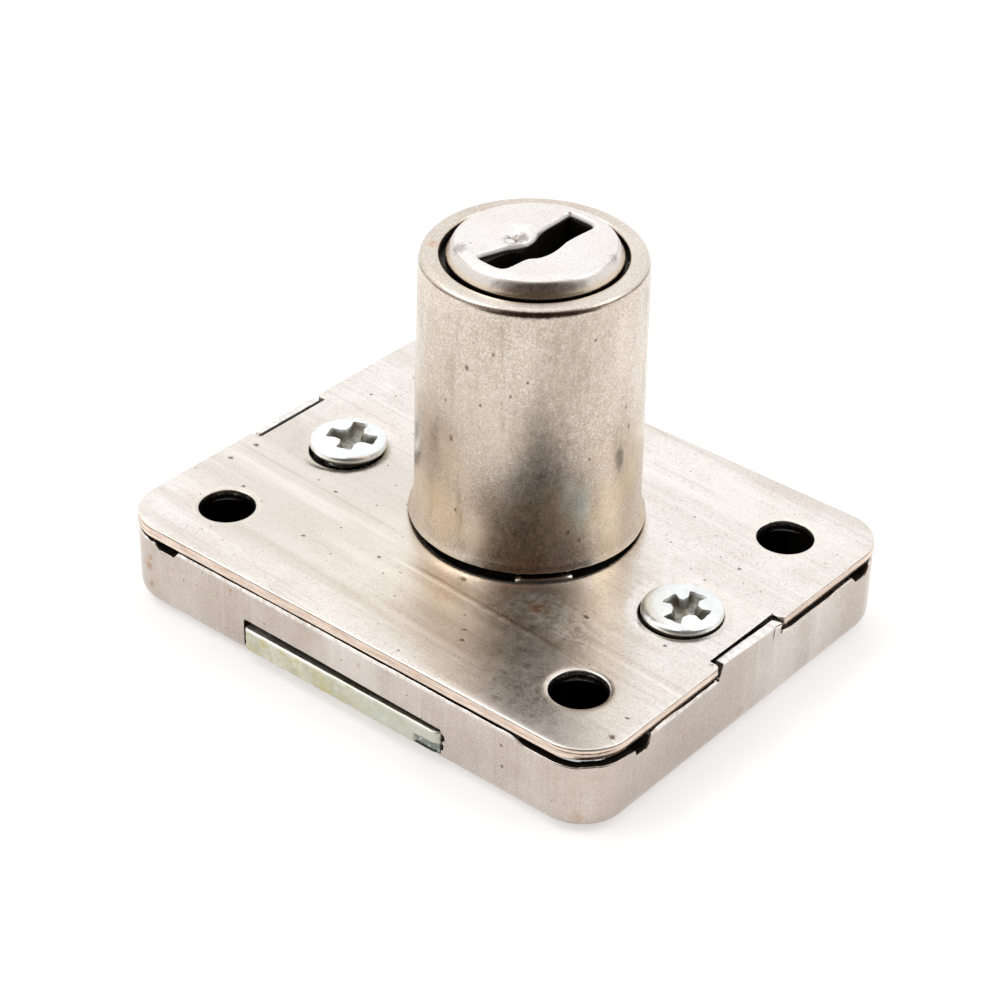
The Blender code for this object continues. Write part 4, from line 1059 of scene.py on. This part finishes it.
    # painted reflection of the right screw's head: a greenish oval with a lighter patch beside it
    patch(-24, 14.5, 1.1, 3.0, (0.60, 0.66, 0.60), 0.65, 6.0, 1.0)
    patch(-31, 15.5, 1.0, 3.2, (0.80, 0.77, 0.72), 0.4, 7.0, 1.2)
    patch(12, 13.5, 2.6, 4.5, (0.72, 0.56, 0.34), 0.35, 8.0, 1.2)
    patch(-97, 12.0, 3.6, 4.5, (0.62, 0.47, 0.29), 0.5, 9.0, 1.2)
    patch(4, 11.0, 3.0, 4.0, (0.60, 0.50, 0.38), 0.35, 9.5, 1.2)
    for th, zc, r in ((-83, 27.3, 0.30), (-69, 29.2, 0.24), (-91.6, 20.0, 0.32), (-107, 37, 0.5), (-96, 23.4, 0.2), (-75, 24.2, 0.16), (-60, 25.6, 0.15),
                      (3, 22.5, 0.2), (6, 20.4, 0.25), (-30, 12.2, 0.22), (-24, 11.2, 0.2), (-88, 13.2, 0.2), (-20, 19, 0.14), (-52, 27, 0.16)):
        f = patch(th, zc, r, r * 1.5, (0.16, 0.10, 0.07), 0.9, th, 1.0)
    pits = m.most(m.specks(1.5, 0.30, 3.0), m.mul(m.specks(0.6, 0.35, 3.8), 0.7))
    col = m.mix(m.mul(m.mul(pits, body), 0.75), col, (0.16, 0.12, 0.10))
    face = m.ramp(z[2], (S_HI[2] - 0.16) * MM, (S_HI[2] - 0.06) * MM)
    col = m.mix(m.mul(face, m.ramp(z[0], -2 * MM, 5 * MM, 0.20, 0.46)), col, (0.86, 0.81, 0.76))
    crease = m.ramp(m.math("ABSOLUTE", m.math("SUBTRACT", z[2], (S_HI[2] - 0.27) * MM)), 0.085 * MM, 0.03 * MM)
    col = m.mix(m.mul(crease, m.ramp(m.noise(2.5, 2.0, vec=w, seed=15.0), 0.35, 0.6, 0.45, 0.9)), col, (0.13, 0.08, 0.06))
    salt = m.ramp(m.noise(0.17, 1.0, 0.5, seed=17.0), 0.50, 0.70)
    col = m.mix(m.mul(salt, 0.26), col, (0.80, 0.73, 0.65))
    rim_rust = m.near((AX - 6.98, AY - 4.57, S_HI[2]), 0.75, 0.9, (1, 1, 1),
                      m.mul(m.math("SUBTRACT", m.noise(0.3, 3.0, seed=13.0), 0.5), 1.8))
    col = m.mix(m.mul(rim_rust, 0.6), col, (0.50, 0.22, 0.09))
    # painted shade on the lug in the gap below the foot, with painted glints at its corners
    lug_gap_shade = m.ramp(z[2], 8.22 * MM, 8.12 * MM)
    col = m.mix(m.mul(lug_gap_shade, 0.82), col, (0.13, 0.105, 0.085))
    for lug_end in (-55, -29):
        lug_glint = (AX + 0.15 + 9.95 * math.cos(math.radians(lug_end)), AY + 0.03 + 9.95 * math.sin(math.radians(lug_end)), 7.95)
        col = m.mix(m.near(lug_glint, 0.42, 0.7), col, (0.95, 0.88, 0.80))
    # a bright worn line along the foot and the rim's turn
    foot = m.mul(m.ramp(z[2], 8.80 * MM, 8.50 * MM), m.ramp(z[2], 8.15 * MM, 8.25 * MM))
    col = m.mix(m.mul(foot, 0.5), col, (0.86, 0.72, 0.58))
    # painted shade: the sleeve's inside, below the top of its lip, is painted near black
    rad = m.new("ShaderNodeVectorMath", operation="LENGTH")
    flat = m.new("ShaderNodeCombineXYZ")
    m.put(flat.inputs[0], m.math("SUBTRACT", z[0], (AX + 0.15) * MM))
    m.put(flat.inputs[1], m.math("SUBTRACT", z[1], (AY + 0.03) * MM))
    m.put(rad.inputs[0], flat.outputs[0])
    bore_shade = m.mul(m.ramp(rad.outputs["Value"], 9.42 * MM, 9.3 * MM), m.ramp(z[2], (S_HI[2] - 0.10) * MM, (S_HI[2] - 0.22) * MM))
    col = m.mix(m.mul(bore_shade, 0.93), col, (0.02, 0.016, 0.013))
    height = m.add(height, m.mul(m.mul(fine, body), 0.6))
    height = m.math("SUBTRACT", height, m.mul(pits, 1.2))
    rough = m.add(m.mul(rough, m.ramp(body, 0, 1, 0.75, 0.95)), m.mul(straw, 0.04))
    return m.finish(col, rough, 1.0, height, 0.012)


def cap_material():
    m = Nodes("cap_nickel")
    col, rough, height = nickel_core(m, (0.88, 0.86, 0.86), (0.79, 0.75, 0.725), 0.20, 0.3, 1.0)
    z = m.xyz()
    side = m.ramp(z[2], (C_HI[2] - 0.18) * MM, (C_HI[2] - 0.40) * MM)
    low = m.ramp(z[2], (C_HI[2] - 1.32) * MM, (C_HI[2] - 1.45) * MM)
    knurl = m.noise(0.24, 2.0, 0.7, seed=7.0)
    col = m.mix(m.mul(side, 0.42), col, (0.68, 0.61, 0.55))
    # painted dark reflection on the cap's side, strongest at the front, broken up by the knurl noise
    front = m.near((AX + 0.2 + 6.9 * math.cos(math.radians(-52)), AY + 6.9 * math.sin(math.radians(-52)), C_HI[2] - 0.7), 3.1, 0.7, (1, 1, 1), m.mul(m.math("SUBTRACT", m.noise(0.4, 3.0, seed=21.0), 0.5), 0.8))
    col = m.mix(m.mul(m.mul(side, m.ramp(knurl, 0.60, 0.40, 0.35, 1.0)), m.add(m.mul(front, 0.52), 0.05)), col, (0.27, 0.18, 0.14))
    # painted shade and a painted highlight round the raised lip beside the keyway, and two further grey spots
    for x_, y_, r_, amount, tone in ((-1.25, 1.5, 0.95, 1.0, (0.13, 0.11, 0.10)), (-0.72, 2.15, 0.78, 0.75, (0.28, 0.25, 0.23)), (-1.75, 3.35, 1.3, 0.9, (1.0, 0.99, 0.97)),
                                     (-3.6, -2.4, 1.0, 0.60, (0.26, 0.24, 0.23)), (7.0, 5.1, 0.9, 0.65, (0.22, 0.20, 0.19))):
        d = m.near((x_, y_, C_HI[2] - 0.1), r_, 0.75, (1, 1, 0.8), m.mul(m.math("SUBTRACT", m.noise(0.3, 2.0, seed=x_), 0.5), 1.2))
        col = m.mix(m.mul(d, amount), col, tone)
    col = m.mix(m.mul(m.ramp(z[2], (C_HI[2] - 0.8) * MM, (C_HI[2] - 1.1) * MM), 0.5), col, (0.74, 0.58, 0.38))
    pits = m.specks(1.1, 0.18, 5.0, vec=m.at(move=(0.00235, 0.0011, 0.0004)))
    col = m.mix(m.mul(pits, 0.55), col, (0.25, 0.20, 0.17))
    # the turn of the rim, and a painted highlight on the keyway's worn edge and the dent beside it: white and less
    # metallic
    turn = m.ramp(m.math("ABSOLUTE", m.math("SUBTRACT", z[2], (C_HI[2] - 0.27) * MM)), 0.07 * MM, 0.02 * MM)
    col = m.mix(m.mul(turn, 0.35), col, (0.30, 0.26, 0.24))
    off = m.new("ShaderNodeCombineXYZ")
    m.put(off.inputs[0], m.math("SUBTRACT", z[0], (AX + 0.22) * MM))
    m.put(off.inputs[1], m.math("SUBTRACT", z[1], (AY + 0.06) * MM))
    rad = m.new("ShaderNodeVectorMath", operation="LENGTH")
    m.put(rad.inputs[0], off.outputs[0])
    worn_edge_highlight = m.mul(m.ramp(rad.outputs["Value"], 6.02 * MM, 5.94 * MM), m.ramp(z[2], (C_HI[2] - 0.10) * MM, (C_HI[2] - 0.15) * MM))
    worn_edge_highlight = m.mul(worn_edge_highlight, m.ramp(z[2], (C_HI[2] - 0.46) * MM, (C_HI[2] - 0.38) * MM))
    col = m.mix(worn_edge_highlight, col, (0.88, 0.86, 0.84))
    # painted shade: the cap's lower side, down in the gap inside the lip, is painted near black
    col = m.mix(m.mul(low, 0.93), col, (0.02, 0.016, 0.013))
    height = m.math("SUBTRACT", m.add(height, m.mul(knurl, 0.5)), pits)
    return m.finish(col, rough, m.math("SUBTRACT", 1.0, m.mul(worn_edge_highlight, 0.75)), height, 0.010)


def zinc_material(name, hi, lo, dirt, grain=0.5, rough_lo=0.22, rough_hi=0.42, metallic=1.0, cx=None):
    m = Nodes(name)
    flake = m.cells(grain, out="Color")
    f = m.new("ShaderNodeSeparateColor")
    m.put(f.inputs[0], flake)
    fine = m.noise(0.35, 3.0, 0.6, seed=2.0)
    cloud = m.noise(2.4, 3.0, 0.6, 0.5, seed=4.0)
    col = m.mix(m.add(m.mul(f.outputs[0], 0.4), m.mul(m.ramp(cloud, 0.35, 0.65), 0.6)), lo, hi)
    pits = m.specks(0.9, 0.2, 6.0)
    col = m.mix(m.mul(pits, 0.6), col, dirt)
    rough = m.ramp(m.add(m.mul(fine, 0.6), m.mul(cloud, 0.4)), 0.3, 0.7, rough_hi, rough_lo)
    height = m.math("SUBTRACT", m.add(m.mul(fine, 0.8), m.mul(f.outputs[1], 0.25)), pits)
    return m, col, rough, height


def screw_material(name, at, top):
    m, col, rough, height = zinc_material(name, (0.93, 0.945, 0.95), (0.80, 0.83, 0.84), (0.25, 0.24, 0.22), 0.4, 0.26, 0.42)
    z = m.xyz()
    deep = m.ramp(z[2], (top - 0.12) * MM, (top - 0.35) * MM)
    q = m.near((at[0], at[1], top - 0.8), 2.75, 0.05, (1, 1, 0.75))
    recess = m.mul(deep, q)
    col = m.mix(m.mul(recess, 0.88), col, m.mix(m.ramp(m.noise(0.5, 3.0, seed=3.3), 0.35, 0.65), (0.17, 0.165, 0.135), (0.40, 0.39, 0.33)))
    col = m.mix(m.mul(m.mul(recess, m.ramp(m.noise(0.9, 2.0, seed=5.5), 0.58, 0.68)), 0.6), col, (0.40, 0.24, 0.11))
    skirt = m.mul(m.ramp(z[2], (top - 0.30) * MM, (top - 0.75) * MM), m.inv(q))
    col = m.mix(m.mul(skirt, 0.55), col, m.mix(m.ramp(m.noise(1.2, 2.0, seed=8.8), 0.4, 0.6), (0.62, 0.66, 0.63), (0.76, 0.72, 0.50)))
    blot = m.ramp(m.noise(0.8, 4.0, 0.7, seed=9.1), 0.60, 0.70)
    col = m.mix(m.mul(blot, 0.60), col, (0.50, 0.51, 0.49))
    rough = m.add(rough, m.mul(recess, 0.12))
    return m.finish(col, rough, 1.0, height, 0.012)


def bolt_material():
    m, col, rough, height = zinc_material("bolt_yellow_zinc", (0.69, 0.68, 0.57), (0.48, 0.47, 0.35), (0.13, 0.11, 0.07), 0.40, 0.26, 0.44)
    patchy = m.noise(1.1, 4.0, 0.65, 0.6, seed=1.7)
    col = m.mix(m.ramp(patchy, 0.48, 0.60, 0.0, 0.75), col, (0.56, 0.50, 0.25))
    col = m.mix(m.ramp(patchy, 0.44, 0.30, 0.0, 0.6), col, (0.60, 0.68, 0.66))
    spots = m.most(m.specks(0.8, 0.5, 7.0), m.specks(0.42, 0.45, 8.0))
    col = m.mix(m.mul(spots, 0.7), col, (0.20, 0.16, 0.09))
    z = m.xyz()
    col = m.mix(m.mul(m.ramp(z[0], -1.0 * MM, 4.0 * MM), m.ramp(patchy, 0.35, 0.55, 0.25, 0.6)), col, (0.56, 0.585, 0.55))
    # painted highlight along the bolt's top edge, mostly on its left half
    edge = m.ramp(z[2], (B_HI[2] - 0.30) * MM, (B_HI[2] - 0.06) * MM)
    col = m.mix(m.mul(edge, m.ramp(z[0], 1.0 * MM, -4.0 * MM, 0.25, 0.8)), col, (0.93, 0.93, 0.90))
    chip = m.mul(m.mul(m.ramp(z[0], 8.0 * MM, 8.5 * MM), m.ramp(z[2], 2.35 * MM, 1.95 * MM)), m.ramp(z[1], -20.3 * MM, -20.9 * MM))
    ragged = m.ramp(m.noise(0.5, 3.0, seed=5.5), 0.36, 0.52)
    col = m.mix(m.mul(m.mul(chip, ragged), 0.85), col, (0.16, 0.20, 0.19))
    return m.finish(col, rough, 1.0, m.math("SUBTRACT", height, spots), 0.014)


def cast_material():
    m, col, rough, height = zinc_material("die_cast_zinc", (0.52, 0.50, 0.47), (0.34, 0.32, 0.30), (0.10, 0.09, 0.08), 0.8, 0.38, 0.60)
    skin = m.noise(3.5, 3.0, 0.6, 1.2, seed=7.3)  # flow marks
    col = m.mix(m.ramp(skin, 0.55, 0.70, 0.0, 0.35), col, (0.62, 0.60, 0.57))
    col = m.mix(0.86, col, (0.02, 0.017, 0.014))  # painted shade: the housing shows only in dark gaps and is painted near black
    glint = m.ramp(m.noise(0.8, 2.0, 0.6, seed=3.1), 0.66, 0.70)
    col = m.mix(m.mul(glint, 0.8), col, (0.7, 0.66, 0.6))
    return m.finish(col, rough, 1.0, m.add(height, m.mul(skin, 0.8)), 0.02)


def plug_material():
    m, col, rough, height = zinc_material("plug_zinc", (0.50, 0.46, 0.40), (0.32, 0.28, 0.24), (0.08, 0.06, 0.05), 0.7, 0.34, 0.55)
    turned = m.noise(0.25, 2.0, 0.5, vec=m.at((0.05, 0.05, 1.0)), seed=2.2)  # turning lines round the plug
    col = m.mix(m.ramp(turned, 0.55, 0.7, 0.0, 0.3), col, (0.66, 0.60, 0.52))
    z = m.xyz()
    # grease and painted shade: the plug is painted near black towards its top, where it shows down the keyway
    grease_and_shade = m.ramp(z[2], 26 * MM, 30 * MM, 0.5, 0.95)
    col = m.mix(grease_and_shade, col, (0.012, 0.010, 0.009))
    rough = m.add(rough, m.mul(grease_and_shade, 0.2))
    return m.finish(col, rough, 1.0, m.add(height, m.mul(turned, 0.7)), 0.014)


def brass_material():
    m, col, rough, height = zinc_material("wafer_brass", (0.86, 0.66, 0.32), (0.66, 0.46, 0.19), (0.16, 0.10, 0.05), 0.6, 0.24, 0.42)
    lines = m.noise(0.18, 2.0, 0.5, vec=m.at((1.0, 0.04, 1.0)), seed=5.2)
    col = m.mix(m.ramp(lines, 0.56, 0.7, 0.0, 0.4), col, (0.92, 0.76, 0.46))
    return m.finish(col, rough, 1.0, m.add(height, m.mul(lines, 0.6)), 0.012)


def steel_material():
    m, col, rough, height = zinc_material("spring_steel", (0.64, 0.64, 0.66), (0.44, 0.44, 0.46), (0.16, 0.12, 0.09), 0.4, 0.20, 0.38)
    oil = m.noise(1.3, 3.0, 0.6, seed=6.2)
    col = m.mix(m.ramp(oil, 0.55, 0.7, 0.0, 0.4), col, (0.36, 0.33, 0.36))
    return m.finish(col, rough, 1.0, height, 0.01)


def dress(ob, mat):
    ob.data.materials.clear()
    ob.data.materials.append(mat)
    for poly in ob.data.polygons:
        poly.material_index = 0


dress(plate, plate_material())
dress(case, case_material())
dress(sleeve, sleeve_material())
dress(cap, cap_material())
dress(screw_l, screw_material("screw_zinc_left", SCREW_L, SL_HI[2] + 0.28))
dress(screw_r, screw_material("screw_zinc_right", SCREW_R, SR_HI[2] + 0.20))
dress(bolt, bolt_material())
CAST, PLUG, BRASS, STEEL = cast_material(), plug_material(), brass_material(), steel_material()
for name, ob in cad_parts.items():
    if name == "cylinder_housing":
        dress(ob, CAST)
    elif name == "plug":
        dress(ob, PLUG)
    elif name == "plug_clip" or name.startswith("wafer_spring"):
        dress(ob, STEEL)
    elif name.startswith("wafer_"):
        dress(ob, BRASS)

# ---- on the frame ---------------------------------------------------------------------------------
for ob, body, node, slot_name in (
        (plate, "lock_case", "cover_plate", "plate_steel"), (case, "lock_case", "case_tray", "case_steel"),
        (sleeve, "lock_case", "barrel_sleeve", "sleeve_nickel"), (cap, "plug_group", "plug_cap", "cap_nickel"),
        (screw_l, "lock_case", "screw_left", "screw_zinc"), (screw_r, "lock_case", "screw_right", "screw_zinc"),
        (bolt, "bolt_body", "bolt", "bolt_yellow_zinc")):
    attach(ob, body)
    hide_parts(node)

# ---- floor, light and camera --------------------------------------------------------------------------
bm = bmesh.new()
bmesh.ops.create_grid(bm, x_segments=8, y_segments=8, size=1.6)
me = bpy.data.meshes.new("floor")
bm.to_mesh(me)
bm.free()
floor = bpy.data.objects.new("floor", me)
floor.location = (0, 0, -0.00005)
scene.collection.objects.link(floor)
m = Nodes("floor_white")
paper = m.noise(4.0, 2.0, 0.5)
m.finish(m.mix(m.ramp(paper, 0.3, 0.7), (0.70, 0.70, 0.70), (0.715, 0.715, 0.715)), 0.75, 0.0, paper, 0.01)
m.bsdf.inputs["Specular IOR Level"].default_value = 0.1
m.bsdf.inputs["Emission Color"].default_value = (1.0, 1.0, 1.0, 1.0)  # a light table: it glows a little
m.bsdf.inputs["Emission Strength"].default_value = 0.47
floor.data.materials.append(m.mat)

# A white tent, with the photographer's dark opening at one fixed side of it.
world = bpy.data.worlds.new("tent")
scene.world = world
world.use_nodes = True
wt = world.node_tree
wt.nodes.clear()
wo = wt.nodes.new("ShaderNodeOutputWorld")
bg = wt.nodes.new("ShaderNodeBackground")
wt.links.new(bg.outputs[0], wo.inputs[0])
tc = wt.nodes.new("ShaderNodeTexCoord")


def wnode(kind, **props):
    n = wt.nodes.new(kind)
    for k, v in props.items():
        setattr(n, k, v)
    return n


def wput(s, v):
    if isinstance(v, bpy.types.NodeSocket):
        wt.links.new(v, s)
    else:
        s.default_value = v


def wdir(az, el):
    a, e = math.radians(az), math.radians(el)
    return (math.sin(a) * math.cos(e), -math.cos(a) * math.cos(e), math.sin(e))


def wlobe(az, el, inner, outer, amount):
    """amount within inner degrees of a direction, 0 beyond outer."""
    nrm = wnode("ShaderNodeVectorMath", operation="NORMALIZE")
    wput(nrm.inputs[0], tc.outputs["Generated"])
    dot = wnode("ShaderNodeVectorMath", operation="DOT_PRODUCT")
    wput(dot.inputs[0], nrm.outputs[0])
    dot.inputs[1].default_value = wdir(az, el)
    mr = wnode("ShaderNodeMapRange", interpolation_type="SMOOTHSTEP", clamp=True)
    for i, v in enumerate((dot.outputs["Value"], math.cos(math.radians(outer)), math.cos(math.radians(inner)), 0.0, amount)):
        wput(mr.inputs[i], v)
    return mr.outputs[0]


def wmath(op, a, b):
    n = wnode("ShaderNodeMath", operation=op)
    wput(n.inputs[0], a)
    wput(n.inputs[1], b)
    return n.outputs[0]


dark = wlobe(46, 30, 22, 56, 0.93)
level = wmath("SUBTRACT", 1.0, dark)
level = wmath("ADD", level, wlobe(-70, 60, 5, 60, 0.20))
level = wmath("ADD", level, wlobe(215, 34, 5, 55, 0.12))
seen = wnode("ShaderNodeLightPath").outputs["Is Camera Ray"]
pick = wnode("ShaderNodeMix", data_type="FLOAT")
wput(pick.inputs[0], seen)
wput(pick.inputs[2], wmath("MULTIPLY", level, 1.0))
wput(pick.inputs[3], 1.1)
wput(bg.inputs["Strength"], pick.outputs[0])
tint = wnode("ShaderNodeMix", data_type="RGBA")
wput(tint.inputs[0], dark)
tint.inputs[6].default_value = (1.0, 0.992, 0.98, 1.0)
tint.inputs[7].default_value = (1.0, 0.80, 0.62, 1.0)
wput(bg.inputs["Color"], tint.outputs[2])

# the dark room behind the photographer, seen only in reflections
n_, v_, f_ = 24, [], []
for k in range(n_ + 1):
    a_ = math.radians(-12 + 116 * k / n_)
    for z_ in (0.0, 0.16):
        v_.append((300 * math.sin(a_), -300 * math.cos(a_), z_ * 1000))
f_ = [(2 * k, 2 * k + 2, 2 * k + 3, 2 * k + 1) for k in range(n_)]
flag = make_object("flag", v_, f_)
fm = Nodes("flag_cloth")
fm.finish(fm.mix(fm.noise(1.0, 2.0), (0.055, 0.038, 0.028), (0.08, 0.058, 0.042)), 0.9, 0.0)
flag.data.materials.append(fm.mat)
flag.visible_camera = False
flag.visible_diffuse = False
flag.visible_shadow = False


def area(name, az, el, dist, size, power, colour=(1, 1, 1)):
    data = bpy.data.lights.new(name, "AREA")
    data.shape = "DISK"
    data.size = size
    data.energy = power
    data.color = colour
    ob = bpy.data.objects.new(name, data)
    d = Vector(wdir(az, el))
    ob.location = d * dist + Vector((0, 0, 0.01))
    ob.rotation_euler = d.to_track_quat("Z", "Y").to_euler()
    scene.collection.objects.link(ob)
    return ob


area("softbox_left", -62, 58, 0.9, 0.5, 1.3, (1.0, 0.99, 0.97))
area("softbox_right", 130, 48, 0.9, 0.45, 0.8, (0.98, 0.99, 1.0))

cam_data = bpy.data.cameras.new("camera")
cam = bpy.data.objects.new("camera", cam_data)
scene.collection.objects.link(cam)
cam_data.lens = 100.18
cam_data.sensor_width = 36.0
cam_data.sensor_fit = "HORIZONTAL"
cam_data.clip_start = 0.005
cam_data.clip_end = 10.0
back = Vector(wdir(39.230, 33.946))
side = Vector((0, 0, 1)).cross(back).normalized()
up0 = back.cross(side)
ro = math.radians(1.387)
right = side * math.cos(ro) + up0 * math.sin(ro)
up = up0 * math.cos(ro) - side * math.sin(ro)
rot = Matrix((right, up, back)).transposed()
cam.matrix_world = Matrix.Translation(Vector((125.080, -153.944, 143.985)) * MM) @ rot.to_4x4()
scene.camera = cam

scene.view_settings.view_transform = "Standard"
scene.view_settings.look = "None"
scene.view_settings.exposure = 0.0
scene.view_settings.gamma = 1.0

bpy.context.view_layer.update()
